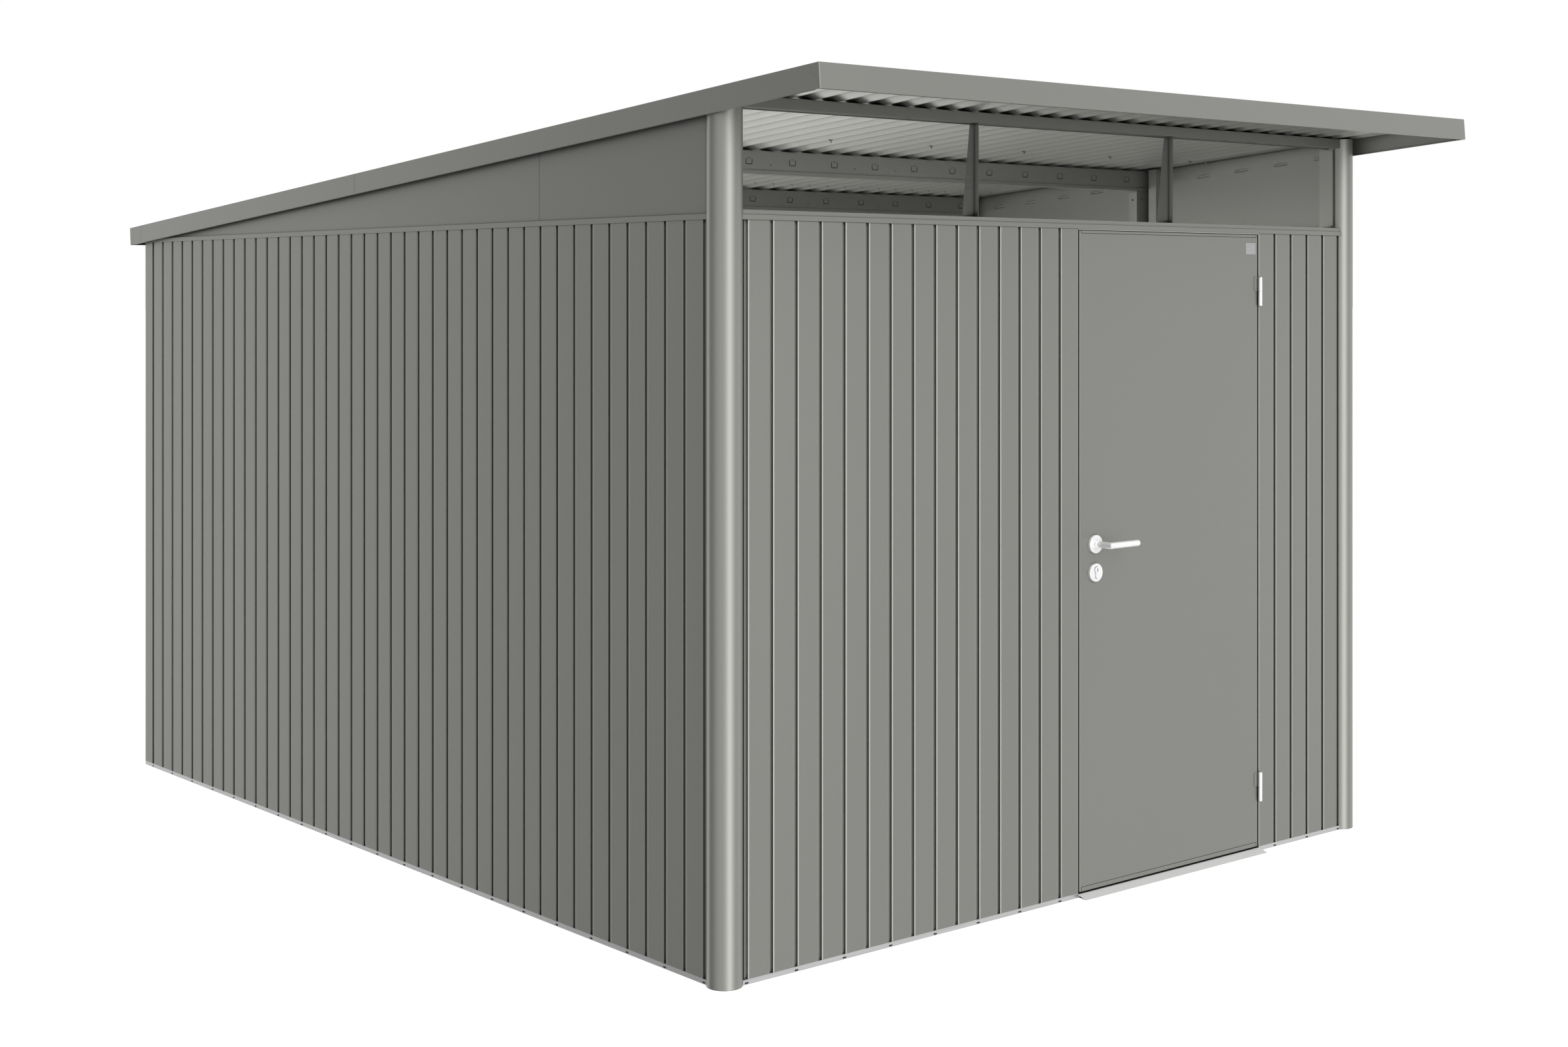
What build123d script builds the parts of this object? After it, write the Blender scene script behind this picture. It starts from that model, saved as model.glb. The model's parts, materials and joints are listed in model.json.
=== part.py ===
from build123d import *
import os
from math import atan2, cos, radians, sin, sqrt

# Metal storage shed with a single-slope roof, a glazed strip over the front wall
# and one side-hung door. Millimetres. X runs to the right along the front, Y runs
# to the rear and Z is up. The origin is on the ground under the middle of the roof.

# Overall sizes
frame_width = 2555.0
frame_depth = 3336.0
overall_height = 2222.5
roof_pitch = 4.44
front_overhang = 392.0
rear_overhang = 80.0
side_overhang = 24.5

# Levels: the walls start on the base rails and end below the roof
wall_bottom = 13.0
rear_panel_height = 45.36
side_rail_height = 14.0

# Clearances
seat = 0.2
fit_gap = 0.3
running_gap = 0.05
door_gap = 5.0
cut_margin = 1.0

# Ribbed wall sheet
sheet_thickness = 1.5
rib_pitch = 80.0
groove_width = 11.0
groove_depth = 6.0
groove_draft = 0.5
lip_width = 4.0
lip_drop = 0.8
bead_width = 3.2
bead_drop = 1.2
front_first_groove = 77.0
side_first_groove = 70.5

# Corner posts at the front: round tubes
post_radius = 45.0
post_wall = 3.0
post_inset_x = 33.0
post_inset_y = 31.0

# Rear corner trims: folded angles
rear_side_leg = 58.5
rear_back_leg = 70.5

# Base frame and wall head: hollow aluminium and steel sections with an upright fin
base_rail_depth = 40.0
head_rail_depth = 30.0
head_rail_proud = 2.0
rail_wall = 2.0
fin_inset = 8.0
fin_thickness = 2.0
base_fin_height = 25.0
head_fin_height = 15.0

# Front rail under the glazed strip: two steps in its face
front_rail_height = 24.0
front_rail_depth = 62.0
front_rail_proud = 3.0
front_rail_step_height = 12.5

# Glazed strip
pane_thickness = 3.0
pane_inset = 12.0
fin_plate = 3.0
fin_spacing = 800.0
fin_depth_bottom = 60.0
fin_depth_top = 31.0

# Header beam and purlins: folded channels
header_height = 27.9
header_depth = 40.0
header_lip = 3.0
purlin_bays = 4
purlin_height = 68.0
purlin_depth = 40.0
purlin_wall = 1.5
purlin_lip_height = 10.0
purlin_lip_proud = 3.0

# Wall posts inside, one under each purlin end, and the gable stiffener
wall_post_width = 60.0
wall_post_depth = 35.0
wall_post_wall = 2.0
stiffener_width = 33.0
stiffener_reach = 36.0
stiffener_gap = 27.0

# Gables
gable_inset = 2.0
gable_thickness = 1.5

# Roof sheet and fascia
wave_pitch = 80.0
wave_depth = 11.0
wave_radius = 13.5
roof_sheet_thickness = 1.0
fascia_height = 61.5
fascia_thickness = 1.5
fascia_top_flange = 25.0
fascia_bottom_hem = 8.0
fascia_return = 25.0
fascia_corner_radius = 2.5

# Doorway and door
doorway_left = 1273.5
doorway_width = 805.5
leaf_thickness = 26.0
leaf_bottom = 15.5
leaf_top_fold = 7.5
leaf_bottom_fold = 12.5
leaf_fold_inset = 7.0
leaf_fold_line = 1.5
leaf_edge_bevel = 2.5
jamb_width = 40.0
jamb_depth = 36.0
jamb_wall = 2.0
stop_width = 20.0
sill_ramp = 31.0
sill_lip = 3.0
sill_height = 10.5
sill_hem = 14.0
sill_side = 2.5
sill_step = 2.0
sill_step_height = 9.5
sill_thickness = 1.5

# Hinges
hinge_height = 88.0
hinge_radius = 6.0
hinge_stand_off = 7.0
hinge_inset = 1.5
hinge_pin_radius = 3.0
hinge_plate = 2.0
hinge_plate_width = 21.0
upper_hinge_inset = 171.0
lower_hinge_inset = 180.5
hinge_slit = 0.6

# Lever handle and lock
handle_height = 986.0
handle_backset = 61.5
lock_spacing = 80.0
rosette_radius = 26.0
rosette_thickness = 8.0
lever_radius = 9.5
lever_reach = 60.0
lever_length = 119.0
lever_tip_bevel = 3.0
spindle_radius = 5.0
cylinder_radius = 8.5
cylinder_slot = 10.0
cylinder_drop = 24.0
cylinder_proud = 2.0

# Places worked out from the sizes above
half_width = frame_width / 2
roof_width = frame_width + 2 * side_overhang
roof_depth = frame_depth + front_overhang + rear_overhang
front_y = -roof_depth / 2 + front_overhang
rear_y = front_y + frame_depth
sheet_depth = groove_depth + sheet_thickness
slope_sin = sin(radians(roof_pitch))
slope_cos = cos(radians(roof_pitch))
slope_length = (roof_depth - fascia_height * slope_sin) / slope_cos
roof_origin = (0, fascia_height * slope_sin / 2, overall_height - slope_length / 2 * slope_sin)
roof_frame = Plane(origin=roof_origin, x_dir=(1, 0, 0), z_dir=(0, slope_sin, slope_cos))
crest_level = -fascia_thickness - fit_gap
trough_level = crest_level - wave_depth - roof_sheet_thickness
support_level = trough_level - seat
doorway_x = -half_width + doorway_left
doorway_right = doorway_x + doorway_width
leaf_left = doorway_x + door_gap
leaf_width = doorway_width - 2 * door_gap
purlin_pitch = frame_depth / purlin_bays
hinge_x = doorway_right - hinge_inset
hinge_y = front_y - hinge_stand_off
handle_x = leaf_left + handle_backset


def roof_level(y, level):
    """Height of a plane parallel to the roof at one place."""
    return roof_origin[2] + (level - (y - roof_origin[1]) * slope_sin) / slope_cos


wall_top = roof_level(rear_y, support_level) - rear_panel_height
side_rail_top = wall_top + side_rail_height
front_rail_top = wall_top + front_rail_height
front_rail_step = wall_top + front_rail_step_height
header_bottom = roof_level(front_y, support_level) - header_height
leaf_top = wall_top - door_gap
hinge_centres = (leaf_bottom + lower_hinge_inset, leaf_top - upper_hinge_inset)


def block(x0, x1, y0, y1, z0, z1):
    """A box from its two corners."""
    return Pos((x0 + x1) / 2, (y0 + y1) / 2, (z0 + z1) / 2) * Box(x1 - x0, y1 - y0, z1 - z0)


def upright(points, z0, z1):
    """A plan outline pulled up from one level to another."""
    face = make_face(Polyline(*points, close=True))
    return Pos(0, 0, z0) * extrude(face, z1 - z0, dir=(0, 0, 1))


def along_x(points, x0, x1):
    """A section drawn as (y, z) and run from x0 to x1."""
    wire = Polyline(*[(x0, y, z) for y, z in points], close=True)
    return extrude(make_face(wire), x1 - x0, dir=(1, 0, 0))


def along_y(points, y0, y1):
    """A section drawn as (x, z) and run from y0 to y1."""
    wire = Polyline(*[(x, y0, z) for x, z in points], close=True)
    return extrude(make_face(wire), y1 - y0, dir=(0, 1, 0))


def rectangle_points(a0, a1, b0, b1):
    return [(a0, b0), (a1, b0), (a1, b1), (a0, b1)]


def below_roof(level):
    """Everything under a plane that is parallel to the roof."""
    size = 2 * roof_depth
    return roof_frame.location * Pos(0, 0, level - size / 2) * Box(size, size, size)


def mirrored(shape, plane=Plane.YZ):
    """The same piece on the other side of the shed, or of another plane."""
    solids = [solid.mirror(plane) for solid in shape.solids()]
    return Compound(children=solids) if len(solids) > 1 else solids[0]


def post_cutter():
    """The round space of both corner posts with the gap round them."""
    x = half_width - post_inset_x
    y = front_y + post_inset_y
    tall = Cylinder(post_radius + fit_gap, 2 * overall_height)
    return Pos(-x, y, 0) * tall + Pos(x, y, 0) * tall


def groove_face(centre):
    """Outer line of one groove: rolled lip, straight sides and a bevelled edge."""
    half = groove_width / 2
    return [
        (centre - half - lip_width, 0),
        (centre - half, lip_drop),
        (centre - half + groove_draft, groove_depth),
        (centre + half - groove_draft, groove_depth),
        (centre + half, bead_drop),
        (centre + half + bead_width, 0),
    ]


def groove_back(centre):
    """Inner line of the same groove, one sheet thickness behind."""
    half = groove_width / 2
    t = sheet_thickness
    return [
        (centre - half - t, t),
        (centre - half + groove_draft - t, groove_depth + t),
        (centre + half - groove_draft + t, groove_depth + t),
        (centre + half + t, t),
    ]


def ribbed_sheet(first, start, end):
    """Sheet that runs along X with its face on Y 0, cut off at its start and end."""
    reach = groove_width / 2 + lip_width
    count = int((end + reach - first) / rib_pitch) + 1
    centres = [first + index * rib_pitch for index in range(count)]
    centres = [centre for centre in centres if centre > start - reach]
    low = min(start, centres[0] - rib_pitch / 2)
    high = max(end, centres[-1] + rib_pitch / 2)
    face = [point for centre in centres for point in groove_face(centre)]
    back = [point for centre in centres for point in groove_back(centre)]
    front_line = [(low, 0)] + face + [(high, 0)]
    back_line = [(low, sheet_thickness)] + back + [(high, sheet_thickness)]
    sheet = upright(front_line + back_line[::-1], wall_bottom, wall_top)
    return sheet & block(start, end, 0, sheet_depth, wall_bottom, wall_top)


def post_edge(inset_along, inset_across, depth):
    """How far along a wall its corner post reaches at a depth behind the face."""
    across = inset_across - depth
    return inset_along + sqrt((post_radius + fit_gap) ** 2 - across ** 2)


def front_sheet_start():
    return post_edge(post_inset_x, post_inset_y, sheet_depth)


def side_sheet_start():
    return post_edge(post_inset_y, post_inset_x, sheet_depth)


def front_wall_fold(x0):
    """Folded edge of the front wall beside the doorway."""
    return block(x0, x0 + sheet_thickness, sheet_thickness, fin_inset + fin_thickness, wall_bottom, wall_top)


def front_wall_left():
    sheet = ribbed_sheet(front_first_groove, front_sheet_start(), doorway_left)
    fold = front_wall_fold(doorway_left - sheet_thickness)
    return Pos(-half_width, front_y, 0) * (sheet + fold)


def front_wall_right():
    """Its edge at the doorway is bevelled, and its first groove is the next full one."""
    start = doorway_left + doorway_width
    skipped = int((start - front_first_groove) / rib_pitch) + 1
    first = front_first_groove + skipped * rib_pitch
    sheet = ribbed_sheet(first, start, frame_width - front_sheet_start())
    edge = [(start, 0), (start + bead_width, 0), (start, bead_drop)]
    sheet += front_wall_fold(start)
    return Pos(-half_width, front_y, 0) * (sheet - upright(edge, wall_bottom, wall_top))


def side_wall():
    """Right wall; the left wall is its mirror image."""
    end = frame_depth - rear_side_leg - sheet_thickness - fit_gap
    sheet = ribbed_sheet(side_first_groove, side_sheet_start(), end)
    return Pos(half_width, front_y, 0) * Rot(0, 0, 90) * sheet


def rear_wall():
    start = rear_back_leg + sheet_thickness + fit_gap
    sheet = ribbed_sheet(front_first_groove, start, frame_width - start)
    return Pos(half_width, rear_y, 0) * Rot(0, 0, 180) * sheet


def rear_corner():
    """Left rear corner trim: a folded angle with both edges turned in."""
    t = sheet_thickness
    fold = sheet_depth
    x = -half_width
    points = [
        (x, rear_y),
        (x, rear_y - rear_side_leg),
        (x + fold, rear_y - rear_side_leg),
        (x + fold, rear_y - rear_side_leg + t),
        (x + t, rear_y - rear_side_leg + t),
        (x + t, rear_y - t),
        (x + rear_back_leg - t, rear_y - t),
        (x + rear_back_leg - t, rear_y - fold),
        (x + rear_back_leg, rear_y - fold),
        (x + rear_back_leg, rear_y),
    ]
    return upright(points, wall_bottom, wall_top)


def tube_with_fin(depth, proud, low, high, fin_height):
    """Section of a hollow rail: (outer, inner, fin) outlines as (depth, level)."""
    outer = rectangle_points(-proud, depth, low, high)
    inner = rectangle_points(-proud + rail_wall, depth - rail_wall, low + rail_wall, high - rail_wall)
    fin = rectangle_points(fin_inset, fin_inset + fin_thickness, high, high + fin_height)
    return outer, inner, fin


def side_rail(section, start, end, fin_start, fin_end):
    """A rail on the left side, from start to end behind the front face."""
    outer, inner, fin = section
    x = -half_width
    body = along_y([(x + d, z) for d, z in outer], front_y + start, front_y + end)
    hollow = along_y([(x + d, z) for d, z in inner], front_y + start, front_y + end)
    upstand = along_y([(x + d, z) for d, z in fin], front_y + fin_start, front_y + fin_end)
    return body - hollow + upstand


def cross_rail(section, face_y, inward, x0, x1, fin_x0, fin_x1):
    """A rail along the front or the rear; inward is 1 at the front and -1 at the rear."""
    outer, inner, fin = section
    body = along_x([(face_y + inward * d, z) for d, z in outer], x0, x1)
    hollow = along_x([(face_y + inward * d, z) for d, z in inner], x0, x1)
    upstand = along_x([(face_y + inward * d, z) for d, z in fin], fin_x0, fin_x1)
    return body - hollow + upstand


def base_section():
    return tube_with_fin(base_rail_depth, 0, 0, wall_bottom, base_fin_height)


def head_section():
    return tube_with_fin(head_rail_depth, head_rail_proud, wall_top, side_rail_top, head_fin_height)


def front_base_rail_left():
    x0 = -half_width + post_inset_x
    fin_x0 = -half_width + post_inset_x + post_radius + fit_gap
    rail = cross_rail(base_section(), front_y, 1, x0, doorway_x - fit_gap,
                      fin_x0, doorway_x - jamb_width - fit_gap)
    return rail - post_cutter()


def front_base_rail_right():
    x1 = half_width - post_inset_x
    fin_x1 = half_width - post_inset_x - post_radius - fit_gap
    rail = cross_rail(base_section(), front_y, 1, doorway_right + fit_gap, x1,
                      doorway_right + jamb_width + fit_gap, fin_x1)
    return rail - post_cutter()


def side_base_rail():
    fin_start = post_inset_y + post_radius + fit_gap
    fin_end = frame_depth - rear_side_leg - fit_gap
    rail = side_rail(base_section(), post_inset_y, frame_depth, fin_start, fin_end)
    return rail - post_cutter()


def rear_base_rail():
    edge = half_width - base_rail_depth - fit_gap
    fin_edge = half_width - rear_back_leg - fit_gap
    return cross_rail(base_section(), rear_y, -1, -edge, edge, -fin_edge, fin_edge)


def side_head_rail():
    fin_start = post_inset_y + post_radius + fit_gap
    rail = side_rail(head_section(), post_inset_y, frame_depth + head_rail_proud, fin_start,
                     frame_depth - head_rail_depth)
    return rail - post_cutter()


def rear_head_rail():
    """Closes the rear from the wall head up to the roof."""
    edge = half_width - head_rail_depth - fit_gap
    face = rear_y + head_rail_proud
    back = rear_y - head_rail_depth
    outer = block(-edge, edge, back, face, wall_top, overall_height)
    hollow = block(-edge, edge, back + rail_wall, face - rail_wall, wall_top + rail_wall, overall_height)
    solid = outer & below_roof(support_level)
    return solid - (hollow & below_roof(support_level - rail_wall))


def front_rail_outline(inset):
    """Stepped section of the front rail, or its hollow when inset by the wall."""
    step = front_rail_step - inset
    return [
        (-front_rail_proud + inset, wall_top + inset),
        (front_rail_depth - inset, wall_top + inset),
        (front_rail_depth - inset, front_rail_top - inset),
        (inset, front_rail_top - inset),
        (inset, step),
        (-front_rail_proud + inset, step),
    ]


def front_rail():
    edge = half_width - post_inset_x
    outer = along_x([(front_y + d, z) for d, z in front_rail_outline(0)], -edge, edge)
    inner = along_x([(front_y + d, z) for d, z in front_rail_outline(rail_wall)], -edge, edge)
    return outer - inner - post_cutter()


def corner_post():
    """Left front post; the right one is its mirror image."""
    x = -half_width + post_inset_x
    y = front_y + post_inset_y
    tube = Pos(x, y, overall_height / 2) * Cylinder(post_radius, overall_height)
    bore = Pos(x, y, overall_height / 2) * Cylinder(post_radius - post_wall, overall_height)
    return (tube - bore) & below_roof(support_level)


def channel_under_roof(y0, y1, x0, x1, bottom, wall):
    """Folded channel that opens to the rear, with its top flange along the roof."""
    outer = block(x0, x1, y0, y1, bottom, overall_height) & below_roof(support_level)
    inner = block(x0, x1, y0 + wall, y1 + wall, bottom + wall, overall_height)
    return outer - (inner & below_roof(support_level - wall))


def header_beam():
    """Channel between the posts with a small lip turned down at its rear edge."""
    edge = half_width - post_inset_x
    back = front_y + header_depth
    beam = channel_under_roof(front_y, back, -edge, edge, header_bottom, rail_wall)
    lip = block(-edge, edge, back - rail_wall, back, header_bottom - header_lip, header_bottom)
    return beam + lip - post_cutter()


def purlin(index):
    """Channel across the shed with its lower edge rolled forward."""
    y0 = front_y + index * purlin_pitch
    edge = half_width - gable_inset - gable_thickness - fit_gap
    bottom = roof_level(y0, support_level) - purlin_height
    body = channel_under_roof(y0, y0 + purlin_depth, -edge, edge, bottom, purlin_wall)
    roll = block(-edge, edge, y0 - purlin_lip_proud, y0, bottom, bottom + purlin_lip_height)
    return body + roll


def wall_post(index):
    """Upright channel under one purlin end, on the left."""
    y0 = front_y + index * purlin_pitch
    x0 = -half_width + fin_inset + fin_thickness + fit_gap
    x1 = x0 + wall_post_width
    top = roof_level(y0, support_level) - purlin_height
    outer = block(x0, x1, y0, y0 + wall_post_depth, wall_bottom, top)
    inner = block(x0 + wall_post_wall, x1 - wall_post_wall, y0 + wall_post_wall,
                  y0 + wall_post_depth, wall_bottom, top)
    return outer - inner


def head_rail_notch(index):
    """Where a wall post passes the head rail."""
    y0 = front_y + index * purlin_pitch
    x0 = -half_width + fin_inset + fin_thickness
    return block(x0, 0, y0 - fit_gap, y0 + wall_post_depth + fit_gap,
                 wall_top - cut_margin, side_rail_top + cut_margin)


def gable_stiffener():
    """Folded joint of the gable sheets, just in front of the first purlin."""
    y1 = front_y + purlin_pitch - stiffener_gap
    y0 = y1 - stiffener_width
    x0 = -half_width + gable_inset + gable_thickness + fit_gap
    x1 = x0 + stiffener_reach
    low = side_rail_top + head_fin_height + fit_gap
    t = wall_post_wall
    outer = block(x0, x1, y0, y1, low, overall_height)
    inner = block(x0, x1 - t, y0 + t, y1 - t, low, overall_height)
    return (outer - inner) & below_roof(support_level)


def wall_posts():
    posts = [wall_post(index) for index in range(1, purlin_bays)]
    return Compound(children=posts + [gable_stiffener()])


def gable():
    """Left gable sheet between the head rail and the roof."""
    x0 = -half_width + gable_inset
    start = front_y + post_edge(post_inset_y, post_inset_x, gable_inset + gable_thickness)
    sheet = block(x0, x0 + gable_thickness, start, rear_y - rail_wall - fit_gap, side_rail_top, overall_height)
    return sheet & below_roof(support_level)


def glazing():
    """Three panes between the posts and the two fins."""
    y0 = front_y + pane_inset
    edge = half_width - post_edge(post_inset_x, post_inset_y, pane_inset + pane_thickness)
    fin_x = fin_spacing / 2
    fin_half = fin_plate / 2 + fit_gap
    spans = [(-edge, -fin_x - fin_half), (-fin_x + fin_half, fin_x - fin_half), (fin_x + fin_half, edge)]
    panes = [block(a, b, y0, y0 + pane_thickness, front_rail_top, header_bottom - seat) for a, b in spans]
    return Compound(children=panes)


def fins():
    """Two upright plates that taper from the rail to the header."""
    section = [
        (front_y, front_rail_top),
        (front_y + fin_depth_bottom, front_rail_top),
        (front_y + fin_depth_top, header_bottom - seat),
        (front_y, header_bottom - seat),
    ]
    plates = []
    for side in (-1, 1):
        middle = side * fin_spacing / 2
        plates.append(along_x(section, middle - fin_plate / 2, middle + fin_plate / 2))
    return Compound(children=plates)


def wave_line(offset):
    """Line across the roof sheet: round bends joined by straight flanks.

    It starts in a trough at the left edge. The offset lifts it square to the sheet.
    """
    width = roof_width - 2 * (fascia_thickness + fit_gap)
    count = round(2 * width / wave_pitch)
    half = width / count
    drop = wave_depth - 2 * wave_radius
    flank = sqrt(half ** 2 + drop ** 2 - 4 * wave_radius ** 2)
    turn = atan2(2 * wave_radius * half + flank * drop, flank * half - 2 * wave_radius * drop)
    middle = (crest_level + trough_level) / 2
    edges = []
    for index in range(count + 1):
        up = 1 if index % 2 else -1
        x = index * half - width / 2
        z = middle + up * (wave_depth / 2 - wave_radius)
        radius = wave_radius + up * offset
        first = -turn if index > 0 else 0
        last = turn if index < count else 0
        angles = (first, (first + last) / 2, last)
        points = [(x + radius * sin(a), 0, z + up * radius * cos(a)) for a in angles]
        if edges:
            edges.append(Line(edges[-1] @ 1, points[0]))
        edges.append(ThreePointArc(*points))
    return edges


def roof_sheet():
    """Corrugated sheet whose waves run down the slope."""
    top = wave_line(roof_sheet_thickness / 2)
    bottom = wave_line(-roof_sheet_thickness / 2)
    left = Line(top[0] @ 0, bottom[0] @ 0)
    right = Line(top[-1] @ 1, bottom[-1] @ 1)
    face = make_face([*top, *bottom, left, right])
    length = slope_length - 2 * (fascia_thickness + fit_gap)
    sheet = Pos(0, -length / 2, 0) * extrude(face, length, dir=(0, 1, 0))
    return roof_frame.location * sheet


def side_fascia():
    """Left fascia: folded edge along the slope, between the returns of the others."""
    x0 = -roof_width / 2
    reach = slope_length / 2 - max(fascia_return, fascia_top_flange) - fit_gap
    t = fascia_thickness
    web = block(x0, x0 + t, -reach, reach, -fascia_height, 0)
    flange = block(x0, x0 + fascia_top_flange, -reach, reach, -t, 0)
    hem = block(x0, x0 + fascia_bottom_hem, -reach, reach, -fascia_height, -fascia_height + t)
    return roof_frame.location * (web + flange + hem)


def cross_fascia(side):
    """Front fascia at side -1 and rear fascia at side 1, bent round both corners."""
    edge = roof_width / 2
    outer = side * slope_length / 2
    t = fascia_thickness
    plan = block(-edge, edge, *sorted((outer, outer - side * fascia_return)), -fascia_height, 0)
    corners = [e for e in plan.edges().filter_by(Axis.Z) if abs(e.center().Y - outer) < fit_gap]
    space = block(-edge + t, edge - t, *sorted((outer - side * t, outer - side * slope_length)),
                  -2 * fascia_height, fascia_height)
    web = fillet(corners, fascia_corner_radius) - space
    flange = block(-edge + t, edge - t, *sorted((outer - side * t, outer - side * fascia_top_flange)), -t, 0)
    hem = block(-edge + t, edge - t, *sorted((outer - side * t, outer - side * fascia_bottom_hem)),
                -fascia_height, -fascia_height + t)
    return roof_frame.location * (web + flange + hem)


def door_jamb():
    """Upright channel at the left of the doorway, with the stop that the leaf meets."""
    x1 = doorway_x
    x0 = x1 - jamb_width
    y0 = front_y + fin_inset + fin_thickness + fit_gap
    y1 = y0 + jamb_depth
    stop_y = front_y + leaf_thickness + door_gap
    t = jamb_wall
    outer = block(x0, x1, y0, y1, wall_bottom, wall_top)
    inner = block(x0 + t, x1 - t, y0 + t, y1, wall_bottom, wall_top)
    stop = block(x1 - t, x1 + stop_width, stop_y, stop_y + t, wall_bottom, wall_top)
    return outer - inner + stop


def right_door_jamb():
    middle = (doorway_x + doorway_right) / 2
    return mirrored(door_jamb(), Plane(origin=(middle, 0, 0), x_dir=(0, 1, 0), z_dir=(1, 0, 0)))


def door_head():
    """Angle under the front rail that the top of the leaf meets."""
    stop_y = front_y + leaf_thickness + door_gap
    x0 = doorway_x + stop_width + fit_gap
    x1 = doorway_right - stop_width - fit_gap
    t = jamb_wall
    back = front_rail_depth - leaf_thickness - door_gap
    web = block(x0, x1, stop_y, stop_y + t, wall_top - stop_width, wall_top)
    flange = block(x0, x1, stop_y, stop_y + back, wall_top - t, wall_top)
    return web + flange


def door_sill():
    """Bent aluminium threshold: hem, ramp, narrow gutter and the step under the leaf."""
    t = sill_thickness
    run = sill_ramp - sill_lip
    slant = t * sqrt(run ** 2 + sill_height ** 2)
    under_start = (slant + t * run) / sill_height - sill_ramp
    ramp = [
        (-sill_ramp, 0),
        (-sill_ramp + sill_hem, 0),
        (-sill_ramp + sill_hem, t),
        (under_start, t),
        (-sill_lip, sill_height - slant / run),
        (-sill_lip, 0),
        (-sill_lip + t, 0),
        (-sill_lip + t, sill_height),
        (-sill_lip, sill_height),
    ]
    step = [
        (-sill_lip, 0),
        (sill_step + t, 0),
        (sill_step + t, sill_step_height - t),
        (base_rail_depth - t, sill_step_height - t),
        (base_rail_depth - t, 0),
        (base_rail_depth, 0),
        (base_rail_depth, sill_step_height),
        (sill_step, sill_step_height),
        (sill_step, t),
        (-sill_lip, t),
    ]
    front = along_x([(front_y + d, z) for d, z in ramp], doorway_x - sill_side, doorway_right + sill_side)
    return front + along_x([(front_y + d, z) for d, z in step], doorway_x, doorway_right)


def keyway(radius, slot, drop, y0, y1):
    """Profile-cylinder shape that runs through the door from y0 to y1."""
    z = handle_height - lock_spacing
    length = y1 - y0
    barrel = Pos(handle_x, (y0 + y1) / 2, z) * Rot(90, 0, 0) * Cylinder(radius, length)
    foot = block(handle_x - slot / 2, handle_x + slot / 2, y0, y1, z - drop, z)
    return barrel + foot


def fold_line(x0, x1, edge, fold):
    """Thin step round a folded strip, between one edge of the leaf and its fold."""
    line = leaf_fold_line
    low, high = sorted((edge, fold))
    a = x0 + leaf_fold_inset
    b = x1 - leaf_fold_inset
    across = block(a, b, front_y, front_y + line, fold - line / 2, fold + line / 2)
    ends = block(a, a + line, front_y, front_y + line, low, high)
    return across + ends + block(b - line, b, front_y, front_y + line, low, high)


def door_leaf():
    """Flush leaf with bevelled sides and a folded strip at its top and bottom."""
    x0 = leaf_left
    x1 = leaf_left + leaf_width
    y1 = front_y + leaf_thickness
    leaf = block(x0, x1, front_y, y1, leaf_bottom, leaf_top)
    sides = [e for e in leaf.edges().filter_by(Axis.Z) if e.center().Y < front_y + fit_gap]
    leaf = chamfer(sides, leaf_edge_bevel)
    leaf -= fold_line(x0, x1, leaf_bottom, leaf_bottom + leaf_bottom_fold)
    leaf -= fold_line(x0, x1, leaf_top, leaf_top - leaf_top_fold)
    bore = Pos(handle_x, front_y + leaf_thickness / 2, handle_height) * Rot(90, 0, 0)
    leaf -= bore * Cylinder(spindle_radius + running_gap, 2 * leaf_thickness)
    leaf -= keyway(cylinder_radius + fit_gap, cylinder_slot + 2 * fit_gap, cylinder_drop + fit_gap,
                   front_y - cut_margin, y1 + cut_margin)
    return leaf


def rosette(y0, y1, z):
    """Round cover plate on the leaf."""
    return Pos(handle_x, (y0 + y1) / 2, z) * Rot(90, 0, 0) * Cylinder(rosette_radius, y1 - y0)


def handle_rosettes():
    front = rosette(front_y - rosette_thickness, front_y, handle_height)
    back_y = front_y + leaf_thickness
    back = rosette(back_y, back_y + rosette_thickness, handle_height)
    axis = Pos(handle_x, front_y, handle_height) * Rot(90, 0, 0)
    hole = axis * Cylinder(spindle_radius + running_gap, 6 * leaf_thickness)
    return Compound(children=[front - hole, back - hole])


def key_rosettes():
    z = handle_height - lock_spacing
    back_y = front_y + leaf_thickness
    front = rosette(front_y - rosette_thickness, front_y, z)
    back = rosette(back_y, back_y + rosette_thickness, z)
    hole = keyway(cylinder_radius + fit_gap, cylinder_slot + 2 * fit_gap, cylinder_drop + fit_gap,
                  front_y - 2 * rosette_thickness, back_y + 2 * rosette_thickness)
    return Compound(children=[front - hole, back - hole])


def lock_cylinder():
    y0 = front_y - rosette_thickness - cylinder_proud
    y1 = front_y + leaf_thickness + rosette_thickness + cylinder_proud
    return keyway(cylinder_radius, cylinder_slot, cylinder_drop, y0, y1)


def inner_lever():
    """Round lever with a mitred corner and a bevelled tip."""
    r = lever_radius
    root = front_y + leaf_thickness + rosette_thickness + fit_gap
    far = front_y + leaf_thickness + lever_reach
    neck = Pos(handle_x, (root + far + r) / 2, handle_height) * Rot(90, 0, 0)
    neck = neck * Cylinder(r, far + r - root)
    arm = Pos(handle_x + (lever_length - r) / 2, far, handle_height) * Rot(0, 90, 0)
    arm = arm * Cylinder(r, lever_length + r)
    arm = chamfer(arm.edges().sort_by(Axis.X)[-1], lever_tip_bevel)
    mitre = Plane(origin=(handle_x, far, handle_height), z_dir=(1, 1, 0))
    return split(neck, bisect_by=mitre, keep=Keep.BOTTOM) + split(arm, bisect_by=mitre, keep=Keep.TOP)


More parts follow.
